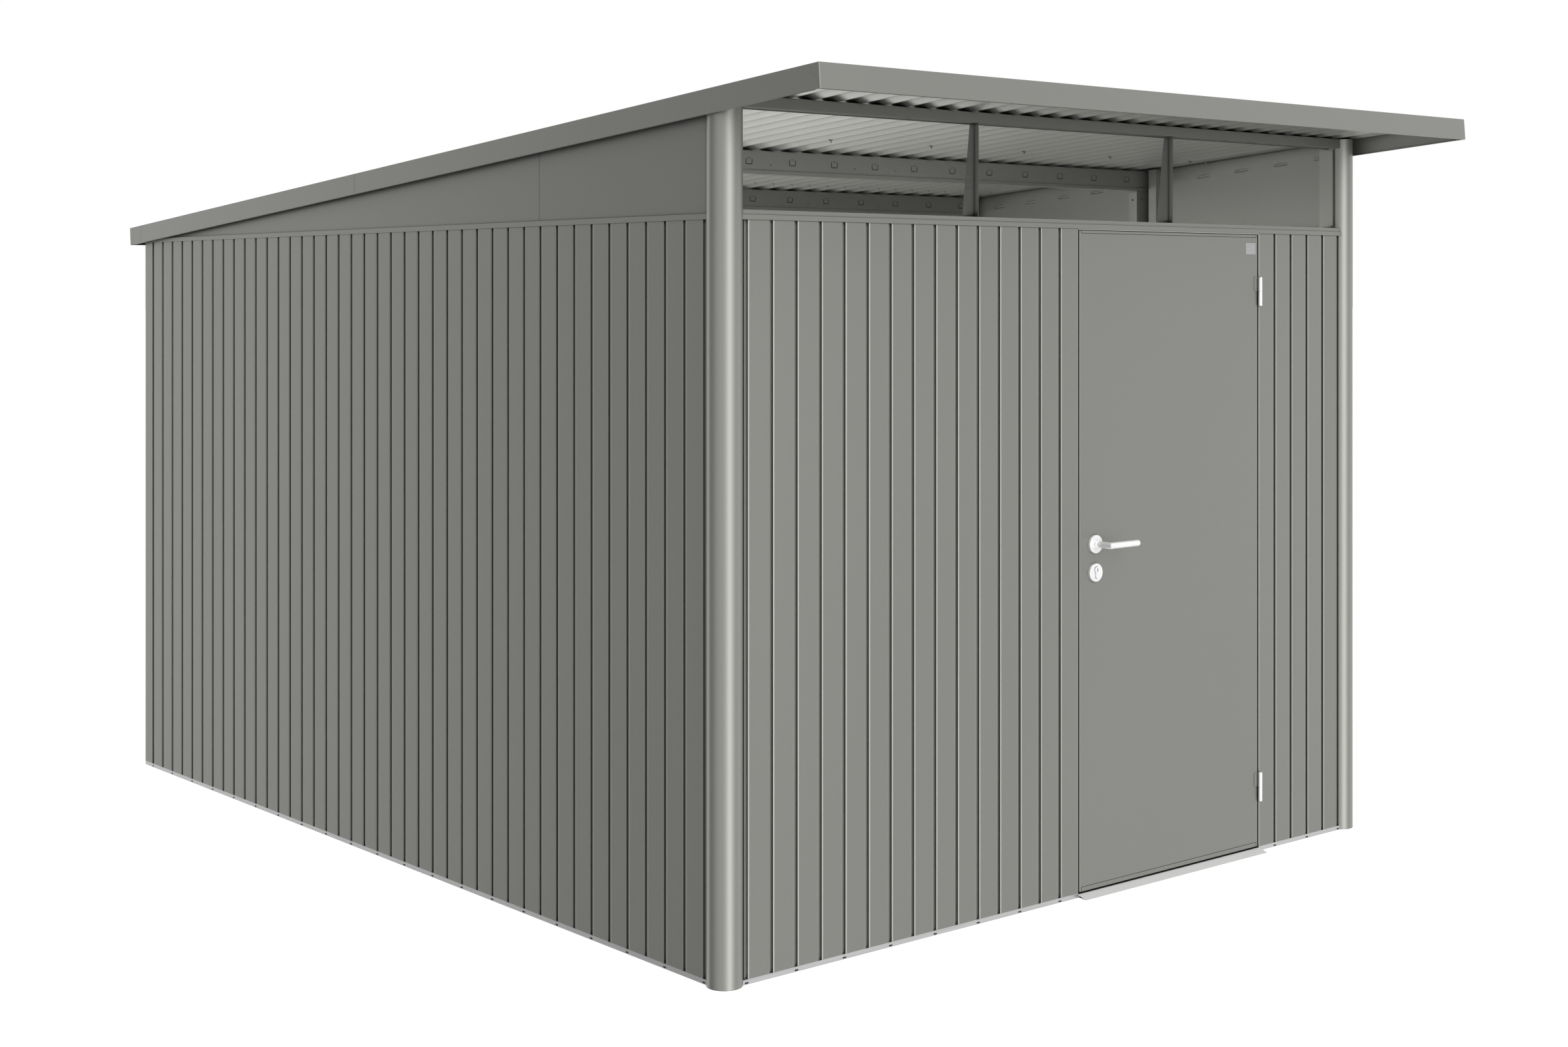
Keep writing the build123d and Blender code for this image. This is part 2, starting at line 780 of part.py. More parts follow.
def outer_lever():
    """The same lever on the outside, in one piece with the spindle."""
    middle = front_y + leaf_thickness / 2
    reach = leaf_thickness / 2 + rosette_thickness + fit_gap
    rod = Pos(handle_x, middle, handle_height) * Rot(90, 0, 0) * Cylinder(spindle_radius, 2 * reach)
    through = Plane(origin=(0, middle, 0), x_dir=(1, 0, 0), z_dir=(0, 1, 0))
    return mirrored(inner_lever(), through) + rod


def hinge_half(centre, lower):
    """One half of a lift-off hinge: (z0, z1) of its knuckle."""
    if lower:
        return centre - hinge_height / 2, centre - hinge_slit / 2
    return centre + hinge_slit / 2, centre + hinge_height / 2


def knuckle(z0, z1, radius):
    return Pos(hinge_x, hinge_y, (z0 + z1) / 2) * Cylinder(radius, z1 - z0)


def frame_hinges():
    """Lower halves with their pins, on the wall beside the doorway."""
    halves = []
    for centre in hinge_centres:
        z0, z1 = hinge_half(centre, True)
        top = centre + hinge_height / 2 - hinge_pin_radius
        plate = block(hinge_x, hinge_x + hinge_plate_width, front_y - hinge_plate, front_y, z0, z1)
        halves.append(knuckle(z0, z1, hinge_radius) + plate + knuckle(z0, top, hinge_pin_radius))
    return Compound(children=halves)


def door_hinges():
    """Upper halves on the leaf, bored for the pins."""
    halves = []
    for centre in hinge_centres:
        z0, z1 = hinge_half(centre, False)
        plate = block(hinge_x - hinge_plate_width, hinge_x, front_y - hinge_plate, front_y, z0, z1)
        bore = knuckle(z0 - cut_margin, z1 - hinge_pin_radius + cut_margin, hinge_pin_radius + running_gap)
        halves.append(knuckle(z0, z1, hinge_radius) + plate - bore)
    return Compound(children=halves)


def parts():
    """Every piece of the shed by name."""
    rail_notches = [head_rail_notch(index) for index in range(1, purlin_bays)]
    head_rail = side_head_rail()
    for notch in rail_notches:
        head_rail -= notch
    pieces = {
        "front_base_rail_left": front_base_rail_left(),
        "front_base_rail_right": front_base_rail_right(),
        "left_base_rail": side_base_rail(),
        "right_base_rail": mirrored(side_base_rail()),
        "rear_base_rail": rear_base_rail(),
        "door_sill": door_sill(),
        "front_wall_left": front_wall_left(),
        "front_wall_right": front_wall_right(),
        "left_wall": mirrored(side_wall()),
        "right_wall": side_wall(),
        "rear_wall": rear_wall(),
        "front_left_post": corner_post(),
        "front_right_post": mirrored(corner_post()),
        "rear_left_corner": rear_corner(),
        "rear_right_corner": mirrored(rear_corner()),
        "front_head_rail": front_rail(),
        "left_head_rail": head_rail,
        "right_head_rail": mirrored(head_rail),
        "rear_head_rail": rear_head_rail(),
        "left_gable": gable(),
        "right_gable": mirrored(gable()),
        "left_wall_posts": wall_posts(),
        "right_wall_posts": mirrored(wall_posts()),
        "header_beam": header_beam(),
        "front_purlin": purlin(1),
        "middle_purlin": purlin(2),
        "rear_purlin": purlin(3),
        "roof_sheet": roof_sheet(),
        "front_fascia": cross_fascia(-1),
        "rear_fascia": cross_fascia(1),
        "left_fascia": side_fascia(),
        "right_fascia": mirrored(side_fascia()),
        "transom_panes": glazing(),
        "transom_fins": fins(),
        "left_door_jamb": door_jamb(),
        "right_door_jamb": right_door_jamb(),
        "door_head": door_head(),
        "frame_hinges": frame_hinges(),
        "door_hinges": door_hinges(),
        "door_leaf": door_leaf(),
        "handle_rosettes": handle_rosettes(),
        "key_rosettes": key_rosettes(),
        "lock_cylinder": lock_cylinder(),
        "outer_lever": outer_lever(),
        "inner_lever": inner_lever(),
    }
    return pieces


os.makedirs("parts", exist_ok=True)
for name, piece in parts().items():
    export_step(piece, "parts/" + name + ".step")
    print(name, len(piece.solids()), round(piece.volume / 1e3, 1), "cm3")
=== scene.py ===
# %% [markdown]
# A walk-in metal storage shed. The steel and aluminium pieces come from the packed
# model, at their real size, and stay where they are. This script gives each of them
# its finish, adds the small fittings that are too fine for the construction model,
# and sets up the floor, the light and the camera.

import json
from math import acos, cos, pi, radians, sin, tan

import bmesh
import bpy
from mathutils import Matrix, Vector


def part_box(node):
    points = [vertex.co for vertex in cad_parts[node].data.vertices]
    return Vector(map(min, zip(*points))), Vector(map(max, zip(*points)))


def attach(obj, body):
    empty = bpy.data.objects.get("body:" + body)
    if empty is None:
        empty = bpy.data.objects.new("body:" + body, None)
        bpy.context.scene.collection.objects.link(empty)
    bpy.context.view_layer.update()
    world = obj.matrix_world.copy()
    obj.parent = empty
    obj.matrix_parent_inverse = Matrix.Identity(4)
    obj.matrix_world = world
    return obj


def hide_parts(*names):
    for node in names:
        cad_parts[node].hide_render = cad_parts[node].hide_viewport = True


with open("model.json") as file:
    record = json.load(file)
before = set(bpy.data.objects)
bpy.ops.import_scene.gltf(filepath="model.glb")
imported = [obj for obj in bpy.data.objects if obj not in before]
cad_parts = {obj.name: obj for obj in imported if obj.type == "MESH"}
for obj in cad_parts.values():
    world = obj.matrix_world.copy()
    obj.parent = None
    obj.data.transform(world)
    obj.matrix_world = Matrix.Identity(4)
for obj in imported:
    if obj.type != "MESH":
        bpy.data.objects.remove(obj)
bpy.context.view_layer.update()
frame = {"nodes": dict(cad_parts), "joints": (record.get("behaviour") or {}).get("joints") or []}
nodes = frame["nodes"]

# %% [markdown]
# Every length below is in metres. A few boxes of the frame are read first, so that
# what is added later follows the real pieces: the faces of the walls, the edges of the
# door and the sides of the doorway. Numbers could be typed in instead, but then a piece
# would be left behind when the model changes.

# %% Places taken from the frame
leaf_low, leaf_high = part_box("door_leaf")
front_face = leaf_low.y
left_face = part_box("left_base_rail")[0].x
right_face = -left_face
rear_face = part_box("rear_base_rail")[1].y
doorway_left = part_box("front_wall_left")[1].x
doorway_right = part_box("front_wall_right")[0].x
doorway_middle = (doorway_left + doorway_right) / 2
doorway_width = doorway_right - doorway_left
print("front", round(front_face, 4), "left", round(left_face, 4), "rear", round(rear_face, 4))

# %% [markdown]
# Shader formulas. A material is a chain of small nodes, and a chain is easiest to read
# as a formula, such as `0.4 + 0.1 * noise`. Python lets a class say what `+` and `*`
# mean, so a wrapped socket adds the Math node by itself. The other way is a link for
# each socket, which takes many more lines and hides what is worked out.

# %% Shader formulas
class Wire:
    """One output socket that can be used in a formula."""

    def __init__(self, shading, socket):
        self.shading = shading
        self.socket = socket

    def math(self, operation, *values):
        return self.shading.node("ShaderNodeMath", {"operation": operation}, values)

    def __add__(self, other):
        return self.math("ADD", self, other)

    def __sub__(self, other):
        return self.math("SUBTRACT", self, other)

    def __rsub__(self, other):
        return self.math("SUBTRACT", other, self)

    def __mul__(self, other):
        return self.math("MULTIPLY", self, other)

    __radd__ = __add__
    __rmul__ = __mul__


print("formulas ready:", "+ - *")

# %% [markdown]
# All other nodes come from one method. It takes the node's type, then its options, such
# as the stops of a colour ramp, and then the values or wires of its sockets. The options
# go first, because some of them change which sockets a node has. Three short methods on
# top of it serve every finish: the place on the object, soft noise and a mix of colours.

# %% Nodes
COLOUR_FACTOR, FIRST_COLOUR, SECOND_COLOUR, MIXED_COLOUR = 0, 6, 7, 2


class Shading:
    """A node tree and the few calls that build one."""

    def __init__(self, tree):
        self.tree = tree

    def fill(self, socket, value):
        if isinstance(value, Wire):
            self.tree.links.new(value.socket, socket)
        else:
            socket.default_value = value

    def node(self, kind, settings=None, inputs=(), output=0):
        """Adds any node: options first, then its sockets by name or in order."""
        made = self.tree.nodes.new(kind)
        for option, value in (settings or {}).items():
            if option == "stops":
                self.set_stops(made.color_ramp, value)
            else:
                setattr(made, option, value)
        pairs = inputs.items() if isinstance(inputs, dict) else enumerate(inputs)
        for key, value in pairs:
            self.fill(made.inputs[key], value)
        return Wire(self, made.outputs[output])

    def set_stops(self, ramp, stops):
        """Gives a colour ramp its stops, each a place from 0 to 1 and a grey level."""
        while len(ramp.elements) < len(stops):
            ramp.elements.new(0.5)
        for element, (place, level) in zip(ramp.elements, stops):
            element.position = place
            element.color = (level, level, level, 1.0)

    def position(self, x_scale, y_scale, z_scale):
        """The place on the object in metres, stretched along each axis."""
        here = self.node("ShaderNodeTexCoord", output="Object")
        scale = (x_scale, y_scale, z_scale)
        return self.node("ShaderNodeVectorMath", {"operation": "MULTIPLY"}, (here, scale))

    def noise(self, place, detail=2.0, roughness=0.5):
        """Soft random values from 0 to 1, one swell for each unit of the place."""
        return self.node("ShaderNodeTexNoise", {"noise_dimensions": "3D"},
                         {"Vector": place, "Scale": 1.0, "Detail": detail, "Roughness": roughness})

    def blend(self, factor, first, second):
        """Mixes two colours by a factor from 0 to 1."""
        colours = {COLOUR_FACTOR: factor, FIRST_COLOUR: first, SECOND_COLOUR: second}
        return self.node("ShaderNodeMix", {"data_type": "RGBA"}, colours, output=MIXED_COLOUR)


print("nodes ready")

# %% [markdown]
# A finish is a material with one main shader. What is the same all over a piece is set
# on the shader's own socket, and what varies comes in by wire. A height map goes through
# a Bump node, which only tilts the light: enough for grain that is finer than a hair,
# while every visible shape is made as a mesh.

# %% A finish
class Paint(Shading):
    """A material with one main shader, whose plain values are set by name."""

    def __init__(self, name, **values):
        self.material = bpy.data.materials.new(name)
        self.material.use_nodes = True
        super().__init__(self.material.node_tree)
        self.shader = self.tree.nodes["Principled BSDF"]
        self.output = self.tree.nodes["Material Output"]
        for socket, value in values.items():
            self.set(socket.replace("_", " "), value)

    def set(self, socket, value):
        """Fills one input of the main shader with a value or a wire."""
        self.fill(self.shader.inputs[socket], value)

    def bump(self, height, strength, distance, normal=None):
        """Tilts the surface by a height map; the distance is in metres."""
        inputs = {"Strength": strength, "Distance": distance, "Height": height}
        if normal:
            inputs["Normal"] = normal
        self.set("Normal", self.node("ShaderNodeBump", None, inputs))


def shade(level, red=1.0, blue=1.0):
    """A grey as red, green, blue and full cover; red and blue may be tinted."""
    return (level * red, level, level * blue, 1.0)


print("mid grey:", shade(0.5))

# %% [markdown]
# Painted steel. The sheets are galvanised steel with a satin metallic paint: a greenish
# grey base with fine aluminium flakes. A good half of the light comes back from the
# flakes like a rough mirror, and the rest from the colour, so Metallic stands between 0
# and 1. Two noises keep the sheets from looking like one flat colour: a wide one for the
# slight unevenness of rolled sheet, and a fine one for the flakes. Little light gets out
# of narrow creases and gaps, so an Ambient Occlusion node finds them and darkens the
# colour there as painted shade. A Bevel node softens the light on the edges, which are
# bent, not cut.

# %% Painted steel
TINT = (0.985, 0.92)
FLAKE_SHARE = 0.6
CLOUD_STRETCH = (1.1, 1.1, 0.7)
FLAKES_PER_METRE = 900.0
PAINT_SPREAD = 0.05
PAINT_GRAIN, PAINT_GRAIN_HEIGHT = 0.05, 0.0003
EDGE_ROUND = 0.0007
FOLD_REACH = 0.013
FOLD_DARK, FOLD_LIGHT = 0.42, 0.80
FOLD_SHADE_SHARE = 0.22


def painted_steel(name, level, roughness, reach=FOLD_REACH, dark=FOLD_DARK, light=FOLD_LIGHT):
    paint = Paint(name, Metallic=FLAKE_SHARE)
    cloud = paint.noise(paint.position(*CLOUD_STRETCH), detail=3.0)
    flakes = paint.noise(paint.position(FLAKES_PER_METRE, FLAKES_PER_METRE, FLAKES_PER_METRE), detail=1.0)
    darker = shade(level * (1 - PAINT_SPREAD), *TINT)
    lighter = shade(level * (1 + PAINT_SPREAD), *TINT)
    base = paint.blend(cloud * 0.5 + flakes * 0.5, darker, lighter)
    # Painted shade: in narrow creases and gaps the colour is taken down to FOLD_SHADE_SHARE of its level.
    open_share = paint.node("ShaderNodeAmbientOcclusion", {"samples": 6}, {"Distance": reach}, output="AO")
    fold_shade = paint.node("ShaderNodeMapRange", {"interpolation_type": "SMOOTHSTEP"},
                       {"Value": open_share, "From Min": dark, "From Max": light})
    paint.set("Base Color", paint.blend(fold_shade, shade(level * FOLD_SHADE_SHARE, *TINT), base))
    paint.set("Roughness", roughness - 0.03 + 0.06 * cloud)
    rounded = paint.node("ShaderNodeBevel", {"samples": 4}, {"Radius": EDGE_ROUND})
    paint.bump(flakes, PAINT_GRAIN, PAINT_GRAIN_HEIGHT, rounded)
    return paint.material


wall_paint = painted_steel("satin_grey_paint", 0.26, 0.36)
# The roof's copy is lighter, painted light on its underside, and its wide reach paints shade into the
# valleys of the ribs.
roof_light_and_shade_paint = painted_steel("satin_grey_roof_painted_light_and_shade", 0.38, 0.36, 0.05, 0.84, 1.0)
# The gables' copy is darker, and its wider reach paints the shadow of the fascia along their tops.
gable_shade_paint = painted_steel("satin_grey_gable_painted_shade", 0.235, 0.36, 0.045, 0.35, 0.92)
# This lighter copy without painted shade is a painted highlight on the louvre hoods and the lip over the
# door.
hood_and_lip_highlight_paint = painted_steel("satin_grey_painted_highlight", 0.46, 0.36, 0.001)
# The posts' copy is a little lighter and almost without painted shade: painted light on the corner posts.
post_lit_paint = painted_steel("satin_grey_post_painted_light", 0.28, 0.36, 0.003)
# The header beam's darker copy is the painted shade of the roof overhang above it.
header_shade_paint = painted_steel("overhang_painted_shade", 0.19, 0.38)
# The fins' much darker copy is the painted shade inside the shed.
fin_shade_paint = painted_steel("fin_painted_shade", 0.09, 0.42)
print("painted steel:", wall_paint.name, roof_light_and_shade_paint.name, gable_shade_paint.name)

# %% [markdown]
# Bare aluminium. The base frame and the threshold are left as they come from the press:
# a light grey metal with fine lines along its length. Noise that is stretched many times
# along one axis gives such lines. A drawn picture of lines would do too, but it would
# have to be fitted to each rail.

# %% Bare aluminium
ALONG_LINES, ACROSS_LINES = 3.0, 900.0
LINE_STRENGTH, LINE_HEIGHT = 0.1, 0.0002


def bare_aluminium(name, along_x, dull=0.5, light=0.72, metallic=1.0):
    paint = Paint(name, Metallic=metallic)
    stretch = (ALONG_LINES, ACROSS_LINES) if along_x else (ACROSS_LINES, ALONG_LINES)
    lines = paint.noise(paint.position(*stretch, ACROSS_LINES), detail=3.0)
    paint.set("Base Color", paint.blend(lines, shade(dull), shade(light)))
    paint.set("Roughness", 0.28 + 0.2 * lines)
    paint.bump(lines, LINE_STRENGTH, LINE_HEIGHT)
    return paint.material


aluminium_x = bare_aluminium("aluminium_across", True)
aluminium_y = bare_aluminium("aluminium_along", False)
# The threshold's lighter copy is painted light on its upward-facing ramp.
aluminium_sill_lit = bare_aluminium("aluminium_threshold_painted_light", True, 0.84, 0.96, 0.45)
print("bare aluminium:", aluminium_x.name, aluminium_y.name, aluminium_sill_lit.name)

# %% [markdown]
# Bright fittings. Hinges, lever and cover plates are stainless steel with a fine satin
# brush. They are almost white in daylight, so the base is light and the roughness low
# enough for soft reflections. Full metal would mirror the dark parts of the room, so
# Metallic is only a half.

# %% Bright fittings
BRUSH_STRETCH = (500.0, 500.0, 120.0)


def bright_steel(name, level, metallic):
    paint = Paint(name, Metallic=metallic)
    grain = paint.noise(paint.position(*BRUSH_STRETCH), detail=2.0)
    paint.set("Base Color", paint.blend(grain, shade(level * 0.94), shade(level)))
    paint.set("Roughness", 0.26 + 0.1 * grain)
    return paint.material


bright = bright_steel("satin_stainless", 0.97, 0.5)
print("bright fittings:", bright.name)

# %% [markdown]
# Clear acrylic. The panes over the front wall are so clear that only a faint sheen shows.
# Glass that bends every ray would be slow and noisy for so thin a sheet. So the pane is
# mostly a transparent shader, with a trace of the glossy one where the camera looks at
# it, and light passes it freely on its way into the shed.

# %% Clear acrylic
SHEEN_LEAST, SHEEN_HAZE = 0.004, 0.006


def clear_acrylic(name):
    paint = Paint(name, Roughness=0.03, IOR=1.49)
    paint.shader.inputs["Transmission Weight"].default_value = 1.0
    haze = paint.noise(paint.position(2.0, 2.0, 2.0))
    paint.set("Base Color", paint.blend(haze, shade(0.97), shade(1.0)))
    clear = paint.node("ShaderNodeBsdfTransparent")
    glass = Wire(paint, paint.shader.outputs[0])
    seen = paint.node("ShaderNodeLightPath", output="Is Camera Ray")
    sheen = seen * (SHEEN_LEAST + SHEEN_HAZE * haze)
    mixed = paint.node("ShaderNodeMixShader", None, (sheen, clear, glass))
    paint.tree.links.new(mixed.socket, paint.output.inputs["Surface"])
    return paint.material


acrylic = clear_acrylic("clear_acrylic_sheet")
print("panes:", acrylic.name)

# %% [markdown]
# Four small finishes are left. Slots, holes and knock-out lines open into the dark inside
# of a section, so a nearly black inlay paints the shade in them; the same finish gives the
# dark lines where sheets meet. The seal round the door is black rubber, and with the black
# strip and caps on the threshold it also paints the shade in the gaps there. The plate
# at the door's top corner is blank: light anodised aluminium with a fine sand-blasted
# grain and nothing on it. The roof screws and rivets are dull zinc. They differ only in
# level, grain and gloss, so one function makes them all.

# %% Dark slots, rubber, blank plate and zinc
def plain_finish(name, level, spread, roughness, metallic, grain):
    paint = Paint(name, Metallic=metallic)
    speck = paint.noise(paint.position(grain, grain, grain), detail=3.0, roughness=0.7)
    paint.set("Base Color", paint.blend(speck, shade(level * (1 - spread)), shade(level * (1 + spread))))
    paint.set("Roughness", roughness + 0.1 * speck)
    return paint.material


dark_joint_and_opening_shade = plain_finish("dark_joint_and_opening_shade", 0.006, 0.3, 0.7, 0.0, 300.0)
black_rubber_and_gap_shade = plain_finish("black_rubber_and_gap_shade", 0.02, 0.3, 0.6, 0.0, 400.0)
blank_plate = plain_finish("sandblasted_plate", 0.42, 0.35, 0.4, 0.5, 420.0)
zinc_screw = plain_finish("zinc_screws", 0.16, 0.3, 0.4, 0.8, 500.0)
print("small finishes:", dark_joint_and_opening_shade.name, black_rubber_and_gap_shade.name, blank_plate.name, zinc_screw.name)

# %% [markdown]
# Now each piece of the frame gets its finish. Nearly all of them are painted like the
# walls, so only the others are listed, and the rest take the wall paint. A material sits
# in a slot of the mesh; the slots are emptied and filled, and the mesh is not touched.

# %% Give each piece of the frame its finish
def finish_node(node, material):
    """Puts one material on a piece of the frame; its shape stays as it is."""
    slots = nodes[node].data.materials
    slots.clear()
    slots.append(material)


other_finishes = (
    (aluminium_x, ("front_base_rail_left", "front_base_rail_right", "rear_base_rail")),
    (aluminium_y, ("left_base_rail", "right_base_rail")),
    (aluminium_sill_lit, ("door_sill",)),
    (bright, ("frame_hinges", "door_hinges", "handle_rosettes", "key_rosettes", "lock_cylinder",
              "outer_lever", "inner_lever")),
    (roof_light_and_shade_paint, ("roof_sheet",)),
    (post_lit_paint, ("front_left_post", "front_right_post")),
    (gable_shade_paint, ("left_gable", "right_gable")),
    (header_shade_paint, ("header_beam",)),
    (fin_shade_paint, ("transom_fins",)),
    (acrylic, ("transom_panes",)),
)
finish_of = {node: material for material, group in other_finishes for node in group}
for node in nodes:
    finish_node(node, finish_of.get(node, wall_paint))
print("finishes:", len(nodes), "with the wall paint:", len(nodes) - len(finish_of))

# %% [markdown]
# Small pieces are built point by point. A shape is a row of rings: each ring is a loop of
# points, and neighbouring rings are joined by a band of faces. Blender's own cylinders
# and cubes could be joined and bevelled instead, but rings give a turned piece, a bent
# lever and a flat plate in the same way, and many like pieces go into one mesh. Faces
# that meet at more than 35 degrees keep a sharp edge; all others are shaded smooth.

# %% A shape made of rings
SHARP_ANGLE = radians(35)


class Rings:
    """Points and faces that become one mesh at the end."""

    def __init__(self):
        self.points = []
        self.faces = []

    def skin(self, rings):
        """Joins rings of equally many points, and closes the first and the last."""
        base = len(self.points)
        count = len(rings[0])
        for ring in rings:
            self.points.extend(Vector(point) for point in ring)
        for row in range(len(rings) - 1):
            for index in range(count):
                a = base + row * count + index
                b = base + row * count + (index + 1) % count
                self.faces.append((a, b, b + count, a + count))
        last = base + (len(rings) - 1) * count
        self.faces.append(tuple(range(base + count - 1, base - 1, -1)))
        self.faces.append(tuple(range(last, last + count)))

    def make(self, name, material, body="shed", slot="painted_steel", replaces=()):
        """Turns the shape into an object that rides on a body of the frame."""
        mesh = bpy.data.meshes.new(name)
        mesh.from_pydata(self.points, [], self.faces)
        work = bmesh.new()
        work.from_mesh(mesh)
        bmesh.ops.recalc_face_normals(work, faces=work.faces)
        work.to_mesh(mesh)
        work.free()
        mesh.shade_smooth()
        mesh.set_sharp_from_angle(angle=SHARP_ANGLE)
        mesh.materials.append(material)
        piece = bpy.data.objects.new(name, mesh)
        bpy.context.scene.collection.objects.link(piece)
        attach(piece, body)
        if replaces:
            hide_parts(*replaces)
        print(name, len(mesh.polygons), "faces")
        return piece


print("rings ready, sharp over", round(SHARP_ANGLE, 3), "radians")

# %% [markdown]
# Three kinds of ring rows are enough for every fitting. A turned piece follows a profile
# round an axis, as on a lathe. A plate is an outline given a thickness, with or without
# a bevel round its front edge. A ribbon is a raised line of even width along a path.

# %% Turned pieces, plates and ribbons
RIGHT, LEFT, BACK, FRONT = (1, 0, 0), (-1, 0, 0), (0, 1, 0), (0, -1, 0)
UP, DOWN = (0, 0, 1), (0, 0, -1)


class Shape(Rings):
    """Rings with the three ways in which the fittings are drawn."""

    def turned(self, centre, axis, profile, sides=32):
        """A turned piece: the profile holds (radius, distance along the axis)."""
        centre, axis = Vector(centre), Vector(axis).normalized()
        side = axis.orthogonal().normalized()
        up = axis.cross(side)
        turns = [2 * pi * index / sides for index in range(sides)]
        self.skin([[centre + axis * along + (side * cos(t) + up * sin(t)) * radius for t in turns]
                   for radius, along in profile])

    def plate(self, outline, origin, across, up, thickness, bevel=0.0):
        """A flat plate with a bevelled front edge; the outline is drawn from its middle."""
        origin, across, up = Vector(origin), Vector(across), Vector(up)
        outward = across.cross(up)
        half_width = max(abs(u) for u, v in outline)
        half_height = max(abs(v) for u, v in outline)
        levels = [(1, 1, 0), (1, 1, thickness - bevel)]
        if bevel:
            levels.append((1 - bevel / half_width, 1 - bevel / half_height, thickness))
        self.skin([[origin + across * u * wide + up * v * tall + outward * depth for u, v in outline]
                   for wide, tall, depth in levels])

    def ribbon(self, path, width, origin, across, up, thickness):
        """A raised line of even width along a flat path."""
        origin, across, up = Vector(origin), Vector(across), Vector(up)
        outward = across.cross(up)
        rings = []
        for index, (u, v) in enumerate(path):
            before = path[max(index - 1, 0)]
            after = path[min(index + 1, len(path) - 1)]
            along = Vector((after[0] - before[0], after[1] - before[1])).normalized()
            left = Vector((-along.y, along.x)) * width / 2
            near = origin + across * (u + left.x) + up * (v + left.y)
            far = origin + across * (u - left.x) + up * (v - left.y)
            rings.append([near, near + outward * thickness, far + outward * thickness, far])
        self.skin(rings)


print("drawing in three ways:", "turned, plate, ribbon")

# %% [markdown]
# Two outlines come back again and again: a rectangle with round corners, for plates and
# slots, and the profile of a bar or disc whose far edge is rounded. Each is a list of
# points along quarter circles, so the number of steps sets how fine the round is.

# %% Outlines
def rounded_rectangle(width, height, radius, steps=4):
    """Corner arcs of a rectangle round its middle, anticlockwise."""
    points = []
    for corner in range(4):
        sign_u = 1 if corner in (0, 3) else -1
        sign_v = 1 if corner in (0, 1) else -1
        for step in range(steps + 1):
            turn = (corner + step / steps) * pi / 2
            points.append((sign_u * (width / 2 - radius) + radius * cos(turn),
                           sign_v * (height / 2 - radius) + radius * sin(turn)))
    return points


def rounded_edge(radius, rounding, start, end, steps=4):
    """Profile of a round bar or disc whose far edge is rounded."""
    profile = [(radius, start)]
    for step in range(steps + 1):
        turn = step / steps * pi / 2
        profile.append((radius - rounding + rounding * cos(turn), end - rounding + rounding * sin(turn)))
    return profile


print("points of a rectangle:", len(rounded_rectangle(1.0, 1.0, 0.1)))

# %% [markdown]
# The lever is a round bar of 19 mm with a mitred corner, as such levers are cut from
# tube and welded. Seen along its length it is a row of circles: one at the root of the
# neck, one slanted circle on the mitre where neck and arm meet, and a rounded end. A
# curve with a round bevel would draw the bar too, but it would round off the mitre. The
# inner lever is a mirror image behind the leaf. A short collar covers the joint with the
# rosette.

# %% Lever handle
joints = {joint["name"]: Vector(joint["pos_m"]) for joint in frame["joints"]}
lever_axis = joints["lever_turn"]
lever_low, lever_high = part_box("outer_lever")
inner_lever_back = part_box("inner_lever")[1].y
rosette_low, rosette_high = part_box("handle_rosettes")
LEVER_RADIUS, LEVER_END_ROUND = 0.0095, 0.006
LEVER_SIDES, COLLAR_SIDES = 48, 40
COLLAR_RADIUS, COLLAR_HEIGHT, COLLAR_ROUND = 0.0118, 0.0075, 0.0015
NECK_GAP = 0.0003


def lever(name, outward, root, far, replaced):
    """outward is -1 for the outer lever and 1 for the inner one."""
    x, z = lever_axis.x, lever_axis.z
    turns = [2 * pi * index / LEVER_SIDES for index in range(LEVER_SIDES)]
    bar = [(LEVER_RADIUS * cos(t), LEVER_RADIUS * sin(t)) for t in turns]
    rings = [[(x + u, root, z + v) for u, v in bar], [(x + u, far - outward * u, z + v) for u, v in bar]]
    for radius, along in rounded_edge(LEVER_RADIUS, LEVER_END_ROUND, 0.0, lever_high.x - x)[1:]:
        rings.append([(x + along, far - outward * radius * cos(t), z + radius * sin(t)) for t in turns])
    shape = Shape()
    shape.skin(rings)
    collar = rounded_edge(COLLAR_RADIUS, COLLAR_ROUND, 0.0, COLLAR_HEIGHT)
    shape.turned((x, root, z), (0, outward, 0), collar, COLLAR_SIDES)
    return shape.make(name, bright, "handle", "bright_fittings", [replaced])


lever("lever_outside", -1, rosette_low.y - NECK_GAP, lever_low.y + LEVER_RADIUS, "outer_lever")
lever("lever_inside", 1, rosette_high.y + NECK_GAP, inner_lever_back - LEVER_RADIUS, "inner_lever")

# %% [markdown]
# The rosettes are the round cover plates under the lever, one on each side of the leaf.
# Each is a turned disc with a rounded rim: a lathe profile gives the rim directly, where
# a cylinder would need a Bevel modifier.

# %% Rosettes
ROSETTE_ROUND, ROSETTE_STEPS, ROSETTE_SIDES = 0.0018, 5, 64
rosette_radius = (rosette_high.x - rosette_low.x) / 2
rosette_thickness = leaf_low.y - rosette_low.y
rosette_profile = rounded_edge(rosette_radius, ROSETTE_ROUND, 0.0, rosette_thickness, ROSETTE_STEPS)
rosettes = Shape()
rosettes.turned((lever_axis.x, leaf_low.y, lever_axis.z), FRONT, rosette_profile, ROSETTE_SIDES)
rosettes.turned((lever_axis.x, leaf_high.y, lever_axis.z), BACK, rosette_profile, ROSETTE_SIDES)
rosettes.make("handle_rosette_discs", bright, "door", "bright_fittings", ["handle_rosettes"])

# %% [markdown]
# The end of a profile cylinder has the shape of a keyhole: a round head over a narrow
# foot. Its outline is two arcs, and the straight sides come from joining their ends. The
# same outline, grown a little, serves the gap round the cylinder.

